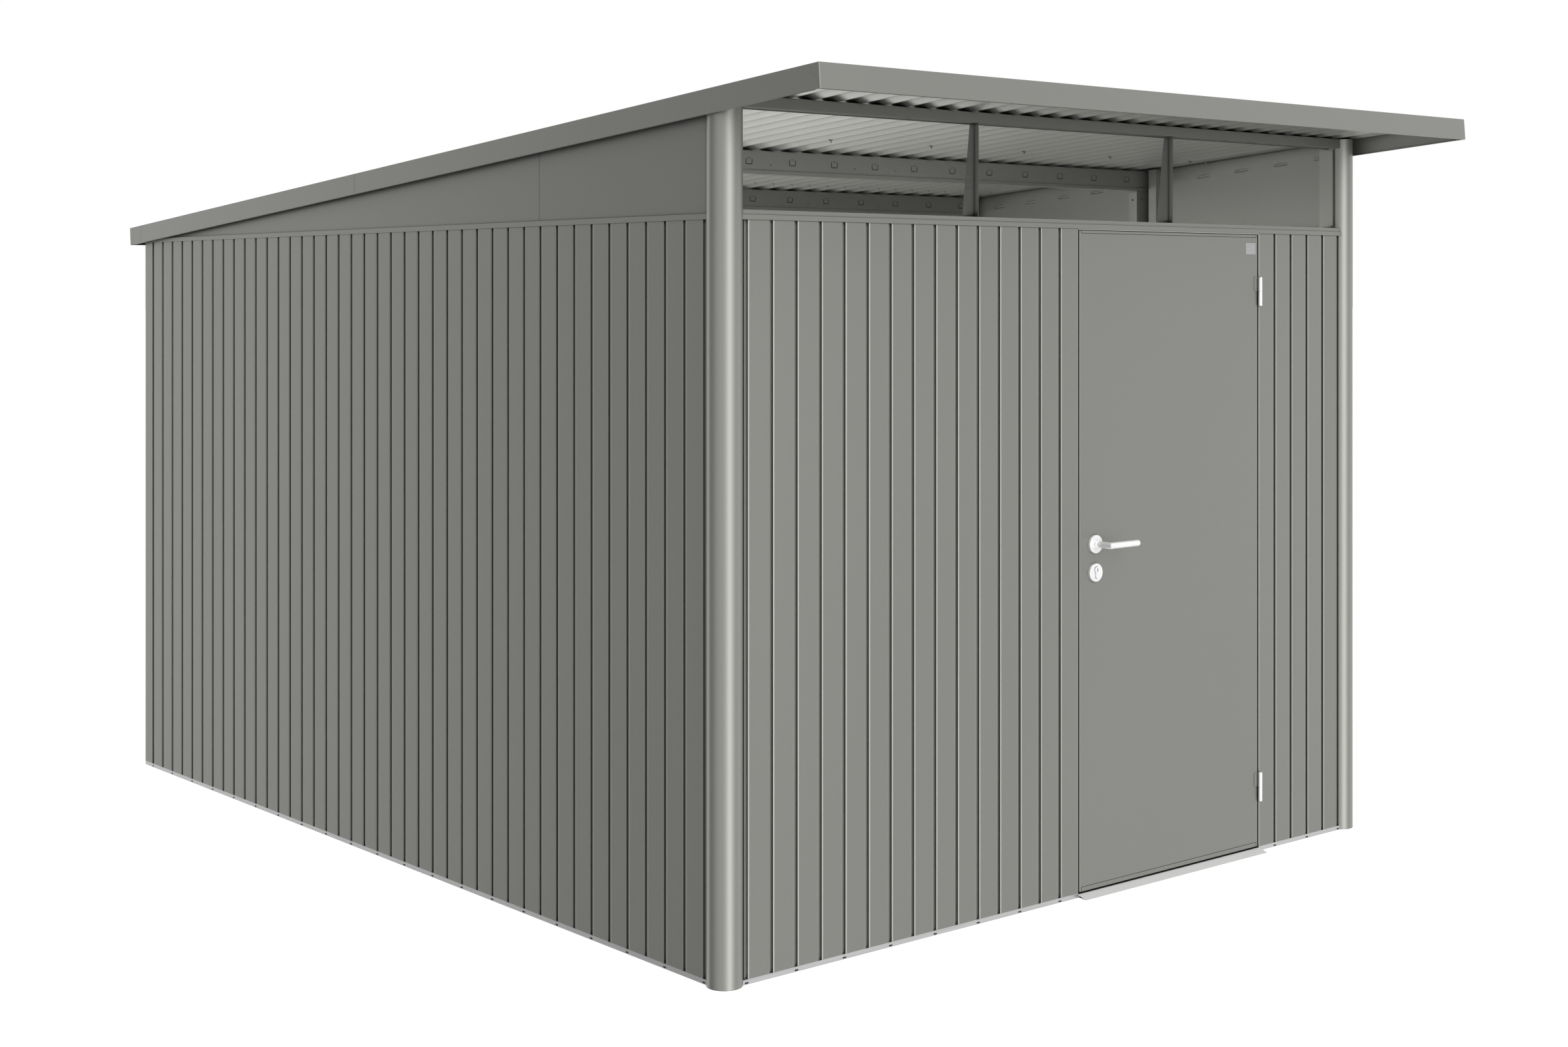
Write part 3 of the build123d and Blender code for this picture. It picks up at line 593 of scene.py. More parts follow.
# %% Outline of the lock cylinder
CYLINDER_RADIUS, CYLINDER_FOOT, CYLINDER_HEIGHT = 0.0085, 0.0100, 0.033
HEAD_STEPS, FOOT_STEPS = 18, 8


def cylinder_outline(grow=0.0):
    """The keyhole shape of a profile cylinder, round its middle; grow widens it."""
    radius, foot = CYLINDER_RADIUS + grow, CYLINDER_FOOT / 2 + grow
    top = CYLINDER_HEIGHT / 2 - CYLINDER_RADIUS
    low = -CYLINDER_HEIGHT / 2 - grow + foot
    meet = acos(foot / radius)
    head_turns = [-meet + step / HEAD_STEPS * (pi + 2 * meet) for step in range(HEAD_STEPS + 1)]
    foot_turns = [pi + step / FOOT_STEPS * pi for step in range(FOOT_STEPS + 1)]
    head = [(radius * cos(t), top + radius * sin(t)) for t in head_turns]
    return head + [(foot * cos(t), low + foot * sin(t)) for t in foot_turns]


print("points of the cylinder:", len(cylinder_outline()))

# %% [markdown]
# The lock has a second pair of rosettes. On each of them the end of the cylinder stands
# out, with its round plug and the key slot. A thin dark line round it paints the shade in
# the gap of the rosette, and the key slot is a dark inlay that paints the shade inside it.
# The gap could be cut into the disc, but at this size a dark plate under the cylinder
# looks the same and keeps the disc whole.

# %% Lock
key_low, key_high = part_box("key_rosettes")
key_middle = (key_low.z + key_high.z) / 2
key_thickness = leaf_low.y - key_low.y
CYLINDER_PROUD, CYLINDER_BEVEL = 0.0040, 0.0005
GAP_WIDTH, GAP_PROUD = 0.0011, 0.0002
PLUG_RADIUS, PLUG_PROUD, PLUG_ROUND, PLUG_SIDES = 0.0066, 0.0006, 0.0003, 32
KEY_SLOT = (0.0026, 0.0090)
KEY_SLOT_CORNER, KEY_SLOT_PROUD = 0.0008, 0.0001
plug_profile = rounded_edge(PLUG_RADIUS, PLUG_ROUND, 0.0, PLUG_PROUD)
plug_rise = Vector(UP) * (CYLINDER_HEIGHT / 2 - CYLINDER_RADIUS)

key_discs, cylinder_gaps, cylinders = Shape(), Shape(), Shape()
plugs, key_slots = Shape(), Shape()
for face, outward, across in ((leaf_low.y, FRONT, RIGHT), (leaf_high.y, BACK, LEFT)):
    centre = Vector((lever_axis.x, face, key_middle))
    away = Vector(outward)
    disc_face = centre + away * key_thickness
    plug = centre + away * (key_thickness + CYLINDER_PROUD) + plug_rise
    key_discs.turned(centre, outward, rosette_profile, ROSETTE_SIDES)
    cylinder_gaps.plate(cylinder_outline(GAP_WIDTH), disc_face, across, UP, GAP_PROUD)
    cylinders.plate(cylinder_outline(), disc_face, across, UP, CYLINDER_PROUD, CYLINDER_BEVEL)
    plugs.turned(plug, outward, plug_profile, PLUG_SIDES)
    key_slots.plate(rounded_rectangle(*KEY_SLOT, KEY_SLOT_CORNER), plug + away * PLUG_PROUD,
                    across, UP, KEY_SLOT_PROUD)
key_discs.make("key_rosette_discs", bright, "door", "bright_fittings", ["key_rosettes"])
cylinder_gaps.make("lock_cylinder_gaps", dark_joint_and_opening_shade, "door", "bright_fittings")
cylinders.make("lock_cylinder_ends", bright, "door", "bright_fittings", ["lock_cylinder"])
plugs.make("lock_plugs", bright, "door", "bright_fittings")
key_slots.make("key_slots", dark_joint_and_opening_shade, "door", "bright_fittings")

# %% [markdown]
# The hinges are lift-off hinges: the lower barrel is fixed to the wall, and the upper one
# is lifted off its pin with the door. The barrels have rounded ends and are bright, and
# their plates are painted with the sheet they lie on. The two halves are made as two
# objects, because one stays with the shed and the other turns with the door.

# %% Hinges
hinge_axis = joints["door_hinge"]
frame_low, frame_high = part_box("frame_hinges")
door_hinge_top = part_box("door_hinges")[1].z
HINGE_HEIGHT, HINGE_SLIT = 0.088, 0.0006
HINGE_END_ROUND, HINGE_STEPS, HINGE_SIDES = 0.0028, 5, 32
HINGE_PLATE_CORNER, HINGE_PLATE_THICKNESS, HINGE_PLATE_BEVEL = 0.003, 0.0015, 0.0005
barrel_radius = hinge_axis.x - frame_low.x
plate_width = frame_high.x - hinge_axis.x
hinge_levels = (frame_low.z + HINGE_HEIGHT / 2, door_hinge_top - HINGE_HEIGHT / 2)
half_barrel = HINGE_HEIGHT / 2 - HINGE_SLIT / 2
barrel_profile = rounded_edge(barrel_radius, HINGE_END_ROUND, 0.0, half_barrel, HINGE_STEPS)
plate_outline = rounded_rectangle(plate_width, half_barrel, HINGE_PLATE_CORNER)
for body, side, turn, node in (("shed", 1, DOWN, "frame_hinges"), ("door", -1, UP, "door_hinges")):
    barrels, plates = Shape(), Shape()
    for level in hinge_levels:
        start = Vector((hinge_axis.x, hinge_axis.y, level)) + Vector(turn) * HINGE_SLIT / 2
        middle = start + Vector(turn) * half_barrel / 2
        barrels.turned(start, turn, barrel_profile, HINGE_SIDES)
        plates.plate(plate_outline, (hinge_axis.x + side * plate_width / 2, front_face, middle.z),
                     RIGHT, UP, HINGE_PLATE_THICKNESS, HINGE_PLATE_BEVEL)
    barrels.make(body + "_hinge_barrels", bright, body, "bright_fittings", [node])
    plates.make(body + "_hinge_plates", wall_paint, body, "painted_steel")

# %% [markdown]
# A black rubber seal lies on the stops behind the leaf, so the gap beside the door shows
# as a dark line: the black strip also paints the shade deep in the gap. It is a plain
# strip of rubber on each side, kept a hair away from the leaf so that the door can turn.

# %% Door seal
head_low, head_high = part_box("door_head")
sill_low, sill_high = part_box("door_sill")
stop_face = head_low.y
SEAL_WIDTH, SEAL_CLEAR, SEAL_CORNER, SEAL_BEVEL = 0.014, 0.0003, 0.002, 0.001
seal_depth = stop_face - leaf_high.y - SEAL_CLEAR
seal_middle = (head_high.z + sill_high.z) / 2
seal_outline = rounded_rectangle(SEAL_WIDTH, head_high.z - sill_high.z, SEAL_CORNER)
seal = Shape()
for x in (doorway_left + SEAL_WIDTH / 2, doorway_right - SEAL_WIDTH / 2):
    seal.plate(seal_outline, (x, stop_face, seal_middle), RIGHT, UP, seal_depth, SEAL_BEVEL)
seal.make("door_seal", black_rubber_and_gap_shade, "shed", "painted_steel")

# %% [markdown]
# Over the leaf the head of the doorway ends in a narrow folded lip, shown as a thin pale
# line. It is a flat strip across the doorway, just behind the face of the wall. Its paint
# is the lighter copy used on the louvres, a painted highlight where the lip catches the light.

# %% Lip over the door
LIP_HEIGHT, LIP_INSET, LIP_CORNER, LIP_THICKNESS = 0.0030, 0.0016, 0.0004, 0.001
lip_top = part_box("front_wall_left")[1].z
lip = Shape()
lip.plate(rounded_rectangle(doorway_width, LIP_HEIGHT, LIP_CORNER),
          (doorway_middle, front_face + LIP_INSET, lip_top - LIP_HEIGHT / 2), RIGHT, UP, LIP_THICKNESS)
lip.make("door_head_lip", hood_and_lip_highlight_paint, "shed", "painted_steel")

# %% [markdown]
# A thin black rubber strip lies on the threshold under the foot of the leaf, and the
# open ends of the bent ramp are closed by small black caps. The black strip also paints
# the shadow under the leaf, and the caps paint the shade in the hollow of the ramp. The
# strip is a flat plate, and each cap is a triangle with a thickness.

# %% Threshold rubber
MAT_INSET, MAT_DEPTH, MAT_THICKNESS = 0.0012, 0.026, 0.0003
MAT_SIDE_GAP, MAT_CORNER = 0.001, 0.001
CAP_INSET, CAP_THICKNESS = 0.003, 0.001
CAP_OUTLINE = ((-0.0275, 0.0012), (-0.0020, 0.0012), (-0.0020, 0.0076))
mat_outline = rounded_rectangle(doorway_width - 2 * MAT_SIDE_GAP, MAT_DEPTH, MAT_CORNER)
mat_middle = (doorway_middle, front_face + MAT_INSET + MAT_DEPTH / 2, sill_high.z)
rubber = Shape()
rubber.plate(mat_outline, mat_middle, RIGHT, BACK, MAT_THICKNESS)
for x, inward in ((sill_low.x + CAP_INSET, 1), (sill_high.x - CAP_INSET, -1)):
    ring = [Vector((x, front_face + y, z)) for y, z in CAP_OUTLINE]
    rubber.skin([ring, [point + Vector((inward * CAP_THICKNESS, 0, 0)) for point in ring]])
rubber.make("threshold_rubber_and_shade", black_rubber_and_gap_shade, "shed", "bare_aluminium")

# %% [markdown]
# A blank plate sits at the top corner of the leaf. It is thin, with round corners and a
# fine bevel that gives it a bright rim, and there is nothing on it.

# %% Blank plate
PLATE_SIZE = (0.0475, 0.035)
PLATE_EDGE, PLATE_DROP = 0.0105, 0.0415
PLATE_CORNER, PLATE_THICKNESS, PLATE_BEVEL = 0.0012, 0.0010, 0.0004
plate_middle = (leaf_high.x - PLATE_EDGE - PLATE_SIZE[0] / 2, front_face, leaf_high.z - PLATE_DROP)
corner_plate = Shape()
corner_plate.plate(rounded_rectangle(*PLATE_SIZE, PLATE_CORNER), plate_middle, RIGHT, UP,
                   PLATE_THICKNESS, PLATE_BEVEL)
corner_plate.make("blank_door_plate", blank_plate, "door", "bare_aluminium")

# %% [markdown]
# Drain slots run along the foot of the base rails, one under every second groove. Each
# could be cut out of the rail, but the rails belong to the model and stay as they are.
# The slots are dark openings in a thin wall, so a thin dark inlay with rounded ends does:
# it paints the shade inside them.

# %% Drain slots of the base frame
SLOT_SIZE = (0.012, 0.0042)
SLOT_CORNER = SLOT_SIZE[1] / 2 - 0.0001
SLOT_LEVEL = 0.0044
SLOT_PITCH = 0.160
FIRST_SLOT_FRONT, FIRST_SLOT_SIDE = 0.0775, 0.071
INLAY = 0.00015
slots = Shape()
slot_outline = rounded_rectangle(*SLOT_SIZE, SLOT_CORNER)
for index in range(int((right_face - left_face - FIRST_SLOT_FRONT) / SLOT_PITCH) + 1):
    x = left_face + FIRST_SLOT_FRONT + index * SLOT_PITCH
    if not doorway_left - SLOT_SIZE[0] < x < doorway_right + SLOT_SIZE[0]:
        slots.plate(slot_outline, (x, front_face, SLOT_LEVEL), RIGHT, UP, INLAY)
    slots.plate(slot_outline, (-x, rear_face, SLOT_LEVEL), LEFT, UP, INLAY)
for index in range(int((rear_face - front_face - FIRST_SLOT_SIDE) / SLOT_PITCH) + 1):
    y = front_face + FIRST_SLOT_SIDE + index * SLOT_PITCH
    slots.plate(slot_outline, (left_face, y, SLOT_LEVEL), FRONT, UP, INLAY)
    slots.plate(slot_outline, (right_face, y, SLOT_LEVEL), BACK, UP, INLAY)
slots.make("base_rail_drain_slots", dark_joint_and_opening_shade, "shed", "bare_aluminium")

# %% [markdown]
# Each purlin has a row of knock-outs: lugs that are cut on three sides and held by small
# bridges on top, for cables and shelves. The cut round a lug is a path that a ribbon can
# follow: down one side, round two corners and up the other side.

# %% The cut round a knock-out
LUG_HALF, LUG_RISE = 0.0118, 0.0088
LUG_CORNER, LUG_CORNER_STEPS = 0.003, 3
LUG_OPEN = 0.002


def lug_path():
    """The cut round one lug, from its middle."""
    path = [(-LUG_HALF, LUG_RISE - LUG_OPEN)]
    for middle, start in ((-LUG_HALF + LUG_CORNER, pi), (LUG_HALF - LUG_CORNER, 1.5 * pi)):
        for step in range(LUG_CORNER_STEPS + 1):
            turn = start + step / LUG_CORNER_STEPS * pi / 2
            path.append((middle + LUG_CORNER * cos(turn), -LUG_RISE + LUG_CORNER + LUG_CORNER * sin(turn)))
    path.append((LUG_HALF, LUG_RISE - LUG_OPEN))
    return path


print("points of the cut:", len(lug_path()))

# %% [markdown]
# The lugs are set out from one of them near the middle of each purlin, and between some
# of them is a small round hole. Cuts, bridges and holes are thin dark inlays on the face
# of the web that paint the shade in them, as on the drain slots.

# %% Knock-outs of the purlins
PURLIN_LIP = 0.003
LUG_PITCH, LUG_DROP = 0.167, 0.031
LUG_LINE = 0.0026
BRIDGE_PITCH, BRIDGE_RADIUS, BRIDGE_SIDES = 0.0045, 0.0014, 8
HOLE_DROP, HOLE_RADIUS, HOLE_SIDES = 0.0405, 0.0022, 12
LUG_MIDDLES = (("front_purlin", -0.014), ("middle_purlin", 0.012), ("rear_purlin", 0.0))
purlin_end = right_face - 0.06
bridge = [(BRIDGE_RADIUS, 0.0), (BRIDGE_RADIUS, INLAY)]
hole = [(HOLE_RADIUS, 0.0), (HOLE_RADIUS, INLAY)]

lugs = Shape()
for node, middle in LUG_MIDDLES:
    purlin_low, purlin_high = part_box(node)
    web = purlin_low.y + PURLIN_LIP
    level = purlin_high.z - LUG_DROP
    for index in range(-7, 8):
        x = middle + index * LUG_PITCH
        if abs(x) < purlin_end:
            lugs.ribbon(lug_path(), LUG_LINE, (x, web, level), RIGHT, UP, INLAY)
            for dot in (-1, 0, 1):
                lugs.turned((x + dot * BRIDGE_PITCH, web, level + LUG_RISE), FRONT, bridge, BRIDGE_SIDES)
    for pair in range(4):
        apart = (0.5 + 2 * pair) * LUG_PITCH
        for x in (middle + apart, middle - apart):
            if abs(x) < purlin_end:
                lugs.turned((x, web, purlin_high.z - HOLE_DROP), FRONT, hole, HOLE_SIDES)
lugs.make("purlin_knockouts", dark_joint_and_opening_shade, "shed", "painted_steel")

# %% [markdown]
# The next fittings hang from the roof, which falls to the rear. The height of the
# underside of its troughs is a straight line from the header beam, so one function works
# it out, and nothing has to be measured on the mesh.

# %% The underside of the roof
ROOF_PITCH = radians(4.44)
WAVE_PITCH = 0.08001
FIRST_TROUGH = -1.3002
header_low, header_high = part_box("header_beam")
roof_normal = Vector((0, sin(ROOF_PITCH), cos(ROOF_PITCH)))


def under_roof(x, y):
    """The underside of the sheet's troughs."""
    return Vector((x, y, header_high.z - (y - front_face) * tan(ROOF_PITCH)))


print("underside at the rear wall:", round(under_roof(0, rear_face).z, 4))

# %% [markdown]
# The roof sheet is screwed down through its troughs. Seen from below, washers and screw
# ends hang under some of them, and a row of thin screw tips runs across in front of the
# middle purlin. On top there is a head with a washer for each of them, and a row over
# every purlin. All are turned pieces round the normal of the sloping sheet.

# %% Roof screws
SCREW_END = [(0.0046, 0.0), (0.0046, 0.0014), (0.0030, 0.0019), (0.0026, 0.0030), (0.0017, 0.0035),
             (0.0015, 0.0076), (0.0006, 0.0086)]
THIN_END = [(0.0014, 0.0), (0.0014, 0.0006), (0.0010, 0.0010), (0.0009, 0.0068), (0.0003, 0.0080)]
SCREW_HEAD = [(0.0075, 0.0), (0.0075, 0.0012), (0.0062, 0.0022), (0.0046, 0.0024), (0.0044, 0.0062),
              (0.0036, 0.0070)]
SCREW_SIDES, THIN_SIDES = 12, 8
SHEET_THICKNESS = 0.0012
NEAR_ROW, MIDDLE_ROW = front_face + 0.577, front_face + 1.507
LAST_TROUGH = 32
BEARERS = ("header_beam", "front_purlin", "middle_purlin", "rear_purlin", "rear_head_rail")
screws = Shape()


def screw_head(x, y, sides):
    screws.turned(under_roof(x, y) + roof_normal * SHEET_THICKNESS, roof_normal, SCREW_HEAD, sides)


def through_screw(x, y, end, sides):
    """A screw whose end hangs under the sheet, with its head on top."""
    screws.turned(under_roof(x, y), -roof_normal, end, sides)
    screw_head(x, y, sides)


for trough in range(1, LAST_TROUGH + 1):
    x = FIRST_TROUGH + trough * WAVE_PITCH
    every_fifth = trough % 5 == 1
    if every_fifth or trough == LAST_TROUGH:
        through_screw(x, NEAR_ROW, SCREW_END, SCREW_SIDES)
    if abs(x) < right_face:
        through_screw(x, MIDDLE_ROW, THIN_END, THIN_SIDES)
    if every_fifth:
        for node in BEARERS:
            bearer_low, bearer_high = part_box(node)
            screw_head(x, (bearer_low.y + bearer_high.y) / 2, SCREW_SIDES)
screws.make("roof_screws", zinc_screw, "shed", "bright_fittings")

# %% [markdown]
# Air gets out through small hooded louvres pressed into the gables, close under the roof.
# Each is a shallow blister with a dark mouth on its lower side. The hoods have the lighter
# copy of the paint, a painted highlight, and each mouth is a dark inlay that paints the
# shade inside it. From outside the fascia covers them, and inside they show through the
# clear strip. Nine rings along the hood, low at both ends, give the blister without any
# sculpting.

# %% Gable louvres
LOUVRE_LENGTH, LOUVRE_HEIGHT, LOUVRE_PROUD = 0.060, 0.0075, 0.0045
LOUVRE_PITCH, FIRST_LOUVRE, LOUVRE_DROP = SLOT_PITCH, 0.117, 0.043
LOUVRE_STEPS, LOUVRE_END_SHARE = 8, 0.04
HOOD_SECTION = ((-0.5, 0.0), (-0.4, 1.0), (0.0, 0.85), (0.5, 0.0))
MOUTH_SHARE, MOUTH_HEIGHT, MOUTH_CORNER, MOUTH_DROP = 0.94, 0.0016, 0.0007, 0.0004
LOUVRE_LEAST_LEVEL = 0.03
gable_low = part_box("right_gable")[0]
roof_slope = Vector((0, cos(ROOF_PITCH), -sin(ROOF_PITCH)))
hoods, mouths = Shape(), Shape()


def louvre(wall_x, inward, y):
    """A lens-shaped blister; inward is the way it stands out from the gable."""
    centre = under_roof(wall_x, y) - Vector((0, 0, LOUVRE_DROP))
    rings = []
    for step in range(LOUVRE_STEPS + 1):
        along = (step / LOUVRE_STEPS - 0.5) * LOUVRE_LENGTH
        swell = (1 - (2 * along / LOUVRE_LENGTH) ** 4) * (1 - LOUVRE_END_SHARE) + LOUVRE_END_SHARE
        start = centre + roof_slope * along
        rise = Vector((0, 0, LOUVRE_HEIGHT * swell))
        out = Vector((inward, 0, 0)) * LOUVRE_PROUD * swell
        rings.append([start + rise * high + out * far for high, far in HOOD_SECTION])
    hoods.skin(rings)
    mouths.plate(rounded_rectangle(LOUVRE_LENGTH * MOUTH_SHARE, MOUTH_HEIGHT, MOUTH_CORNER),
                 centre - Vector((0, 0, LOUVRE_HEIGHT * 0.5 + MOUTH_DROP)), roof_slope * -inward, UP, INLAY)


for index in range(int((rear_face - front_face - FIRST_LOUVRE) / LOUVRE_PITCH)):
    y = front_face + FIRST_LOUVRE + index * LOUVRE_PITCH
    if under_roof(0, y).z - LOUVRE_DROP > gable_low.z + LOUVRE_LEAST_LEVEL:
        louvre(gable_low.x, -1, y)
        louvre(-gable_low.x, 1, y)
hoods.make("gable_louvres", hood_and_lip_highlight_paint, "shed", "painted_steel")
mouths.make("gable_louvre_mouths", dark_joint_and_opening_shade, "shed", "painted_steel")

# %% [markdown]
# Seen from inside, the front end of each gable is closed by a flat strip that lies on the
# corner post, so the round of the post doesn't show through the clear strip. A plate of
# sheet thickness on each side is all it takes.

# %% Gable end strips
STRIP_THICKNESS, STRIP_CORNER = 0.0012, 0.0004
post_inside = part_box("front_right_post")[0].x
strip_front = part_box("transom_panes")[1].y + 0.002
strip_back = gable_low.y + 0.004
strip_low, strip_high = gable_low.z + 0.002, header_low.z - 0.001
strip_y, strip_z = (strip_front + strip_back) / 2, (strip_low + strip_high) / 2
strip_outline = rounded_rectangle(strip_back - strip_front, strip_high - strip_low, STRIP_CORNER)
strips = Shape()
for side, across in ((1, FRONT), (-1, BACK)):
    strips.plate(strip_outline, (side * post_inside, strip_y, strip_z), across, UP, STRIP_THICKNESS)
strips.make("gable_end_strips", wall_paint, "shed", "painted_steel")

# %% [markdown]
# The side fascia is held by a rivet at each end. A rivet head is a low dome of a few
# rings, turned about the axis across the shed. The dome ends level with the outside of
# the fascia, so that nothing sticks out of the model's own size.

# %% Fascia rivets
RIVET_INSET, RIVET_DROP, RIVET_SIDES = 0.019, 0.0305, 16
RIVET_DOME = [(0.0035, 0.0), (0.0033, 0.0008), (0.0025, 0.0015), (0.0012, 0.0019)]
dome_height = RIVET_DOME[-1][1]
front_fascia_low, front_fascia_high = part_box("front_fascia")
rear_fascia_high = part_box("rear_fascia")[1]
rivets = Shape()
for side, outward in ((-1, LEFT), (1, RIGHT)):
    x = (front_fascia_high.x - dome_height) * side
    for y, top in ((front_fascia_low.y + RIVET_INSET, front_fascia_high.z),
                   (rear_fascia_high.y - RIVET_INSET, rear_fascia_high.z)):
        rivets.turned((x, y, top - RIVET_DROP), outward, RIVET_DOME, RIVET_SIDES)
rivets.make("fascia_rivets", zinc_screw, "shed", "bright_fittings")

# %% [markdown]
# Long trim comes in lengths. A thin dark line shows where two lengths of the side fascia
# or two gable sheets meet. The fascia follows the slope of the roof, so the middle of
# each line is worked out from its place along the shed.

# %% Sheet joints
JOINT_WIDTH, JOINT_CORNER = 0.0012, 0.0003
FASCIA_HEIGHT = 0.0615 / cos(ROOF_PITCH)
FASCIA_JOINTS, GABLE_JOINT = (0.2539, 1.8081), -0.7142
JOINT_END = 0.001
fascia_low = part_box("left_fascia")[0]
gable_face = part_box("left_gable")[0].x


def fascia_top(y):
    return front_fascia_high.z - (y - front_fascia_low.y) * tan(ROOF_PITCH)


seams = Shape()
fascia_line = rounded_rectangle(JOINT_WIDTH, FASCIA_HEIGHT - 2 * JOINT_END, JOINT_CORNER)
for y in FASCIA_JOINTS:
    middle = fascia_top(y) - FASCIA_HEIGHT / 2
    for x, across in ((fascia_low.x + INLAY, FRONT), (-fascia_low.x - INLAY, BACK)):
        seams.plate(fascia_line, (x, y, middle), across, UP, INLAY)
joint_top = fascia_top(GABLE_JOINT) - 0.02
joint_bottom = gable_low.z + JOINT_END
gable_line = rounded_rectangle(JOINT_WIDTH, joint_top - joint_bottom, JOINT_CORNER)
for x, across in ((gable_face, FRONT), (-gable_face, BACK)):
    seams.plate(gable_line, (x, GABLE_JOINT, (joint_top + joint_bottom) / 2), across, UP, INLAY)
seams.make("sheet_joints", dark_joint_and_opening_shade, "shed", "painted_steel")

# %% [markdown]
# Two bolt holes show at the head of the post inside, where the front purlin is fixed, on
# the right and, by symmetry, on the left. They are small dark discs on the purlin's web,
# which paint the shade inside the holes.

# %% Bolt holes at the post heads
BOLT_HOLE_RADIUS, BOLT_HOLE_SIDES = 0.0035, 12
BOLT_HOLES = ((1.1855, 2.013), (1.2325, 2.019))
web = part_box("front_purlin")[0].y + PURLIN_LIP
bolt_hole = [(BOLT_HOLE_RADIUS, 0.0), (BOLT_HOLE_RADIUS, INLAY)]
bolts = Shape()
for x, z in BOLT_HOLES:
    for side in (-1, 1):
        bolts.turned((side * x, web, z), FRONT, bolt_hole, BOLT_HOLE_SIDES)
bolts.make("post_bolt_holes", dark_joint_and_opening_shade, "shed", "painted_steel")

# %% [markdown]
# The floor is a plain pale sheet. The camera sees it a little brighter than the room
# makes it, so that it blends into the white background and still holds a soft shadow.
# More light would do that too, but it would bleach the shed.

# %% Floor
FLOOR_SIZE = 400.0
FLOOR_GLOW = 0.6


def stage_floor(size):
    mesh = bpy.data.meshes.new("floor")
    half = size / 2
    corners = [(-half, -half, 0), (half, -half, 0), (half, half, 0), (-half, half, 0)]
    mesh.from_pydata(corners, [], [(0, 1, 2, 3)])
    floor = bpy.data.objects.new("floor", mesh)
    bpy.context.scene.collection.objects.link(floor)
    paint = Paint("pale_floor", Roughness=0.9)
    cloud = paint.noise(paint.position(0.2, 0.2, 0.2))
    paint.set("Base Color", paint.blend(cloud, shade(0.80), shade(0.84)))
    seen = paint.node("ShaderNodeLightPath", output="Is Camera Ray")
    paint.set("Emission Color", paint.blend(seen, shade(0.0), shade(FLOOR_GLOW)))
    paint.shader.inputs["Emission Strength"].default_value = 1.0
    mesh.materials.append(paint.material)
    floor.visible_glossy = False
    return floor


floor = stage_floor(FLOOR_SIZE)
print("floor:", tuple(floor.dimensions))

# %% [markdown]
# The room. A satin metal shows what stands round it, so the room matters more than the
# lamps. It is a pale studio with one bright wall in front of the shed, which gives the
# corner posts their highlight, and a dark corner behind its left side. The level follows
# the compass direction, so a colour ramp holds it, from the rear through the left, the
# front and the right back to the rear. The camera sees plain white.

# %% World
ROOM_LEVELS = {
    -180: 0.80, -158: 1.45, -142: 0.14, -125: 0.12, -100: 0.58, -72: 1.00, -50: 0.87,
    -30: 1.30, -6: 3.90, 16: 1.55, 36: 0.56, 46: 0.76, 54: 0.97, 62: 1.10, 76: 1.06, 100: 0.85,
    140: 0.68, 180: 0.80,
}
ZENITH_LEVEL = 0.8
ZENITH_START, ZENITH_FULL = 0.6, 0.95
BRIGHTEST = 4.0


def studio_room(levels, zenith):
    world = bpy.data.worlds.new("studio_room")
    bpy.context.scene.world = world
    world.use_nodes = True
    room = Shading(world.node_tree)
    heading = room.node("ShaderNodeTexCoord", output="Generated")
    apart = room.node("ShaderNodeSeparateXYZ", None, (heading,))
    x, y, z = (Wire(room, apart.socket.node.outputs[axis]) for axis in "XYZ")
    compass = x.math("ARCTAN2", x, y * -1.0) * (0.5 / pi) + 0.5
    stops = [(degrees / 360 + 0.5, level / BRIGHTEST) for degrees, level in sorted(levels.items())]
    walls = room.node("ShaderNodeValToRGB", {"stops": stops}, (compass,))
    height = z.math("ABSOLUTE", z)
    upward = room.node("ShaderNodeMapRange", {"interpolation_type": "SMOOTHSTEP"},
                       {"Value": height, "From Min": ZENITH_START, "From Max": ZENITH_FULL})
    level = room.blend(upward, walls, shade(zenith / BRIGHTEST))
    seen = room.node("ShaderNodeLightPath", output="Is Camera Ray")
    through = room.node("ShaderNodeLightPath", output="Is Transmission Ray")
    white = room.blend(seen.math("MAXIMUM", seen, through), level, shade(1 / BRIGHTEST))
    back = room.tree.nodes["Background"]
    room.fill(back.inputs["Color"], white)
    back.inputs["Strength"].default_value = BRIGHTEST
    return world


room = studio_room(ROOM_LEVELS, ZENITH_LEVEL)
print("world:", room.name, "with", len(ROOM_LEVELS), "levels")

# %% [markdown]
# Three soft lamps stand inside the shed, where the room's light hardly gets in. One on
# the ground lights the underside of the roof, a narrow one along the left wall lights
# the right gable, and a small one behind the front wall lights the purlins. Without them
# the clear strip would be a black band. They don't show themselves.

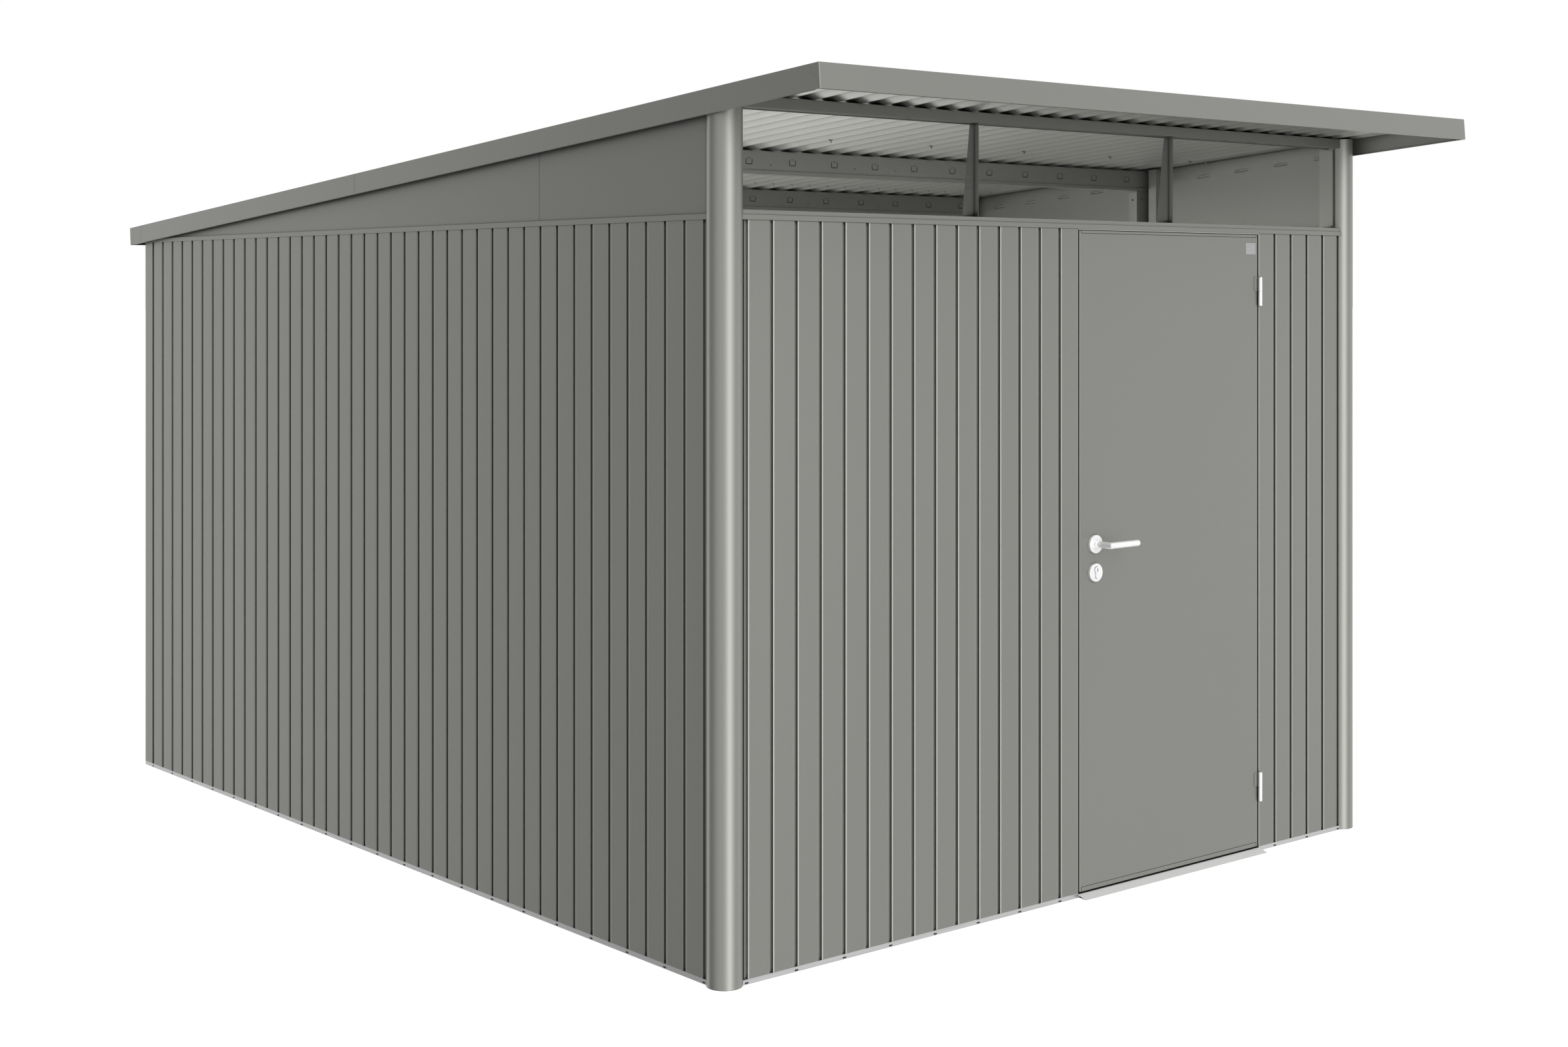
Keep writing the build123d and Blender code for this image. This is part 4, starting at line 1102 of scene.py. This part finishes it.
# %% Lamps
def soft_lamp(name, place, turn, width, height, power):
    """A rectangle of light that shines along its own -Z, turned by three angles."""
    data = bpy.data.lights.new(name, "AREA")
    data.shape = "RECTANGLE"
    data.size = width
    data.size_y = height
    data.energy = power
    lamp = bpy.data.objects.new(name, data)
    lamp.location = place
    lamp.rotation_euler = turn
    lamp.visible_camera = False
    lamp.visible_transmission = False
    bpy.context.scene.collection.objects.link(lamp)
    print(name, power, "watts")
    return lamp


soft_lamp("lamp_inside_floor", (0.1, 0.7, 0.25), (pi, 0, 0), 2.0, 1.9, 14)
soft_lamp("lamp_inside_left", (-1.15, 0.1, 1.6), (0, radians(-112), 0), 0.35, 3.0, 18)
soft_lamp("lamp_inside_front", (0.4, -1.4, 1.1), (radians(125), 0, 0), 1.6, 0.3, 5)

# %% [markdown]
# The camera stands where the photograph was taken: at eye height, in front of the left
# corner, turned 40 degrees, and level, so that upright edges stay upright. These numbers
# come from the straight edges in the photograph. A level camera would cut off the foot
# of the shed, so the lens is shifted down, as on a view camera, where tilting it would
# make the posts lean.

# %% Camera
PHOTO_WIDTH, PHOTO_HEIGHT = 2349, 1568
FOCAL_PIXELS = 3275.48
HORIZON_ROW = 437.86
EYE = (-4.5714, -5.6722, 1.6953)
HEADING = 40.0
SENSOR_WIDTH = 36.0

camera_data = bpy.data.cameras.new("camera")
camera_data.sensor_width = SENSOR_WIDTH
camera_data.lens = FOCAL_PIXELS / PHOTO_WIDTH * SENSOR_WIDTH
camera_data.shift_y = (HORIZON_ROW - PHOTO_HEIGHT / 2) / PHOTO_WIDTH
camera_data.clip_end = 300.0
camera = bpy.data.objects.new("camera", camera_data)
camera.location = EYE
camera.rotation_euler = (radians(90), 0, radians(-HEADING))
bpy.context.scene.collection.objects.link(camera)
bpy.context.scene.camera = camera
bpy.context.scene.view_settings.view_transform = "Standard"
print("lens:", round(camera_data.lens, 2), "mm, shift:", round(camera_data.shift_y, 4))

# %% [markdown]
# Last, the scene is brought up to date. The fittings may not make the shed any larger.

# %% Bring the scene up to date
bpy.context.view_layer.update()
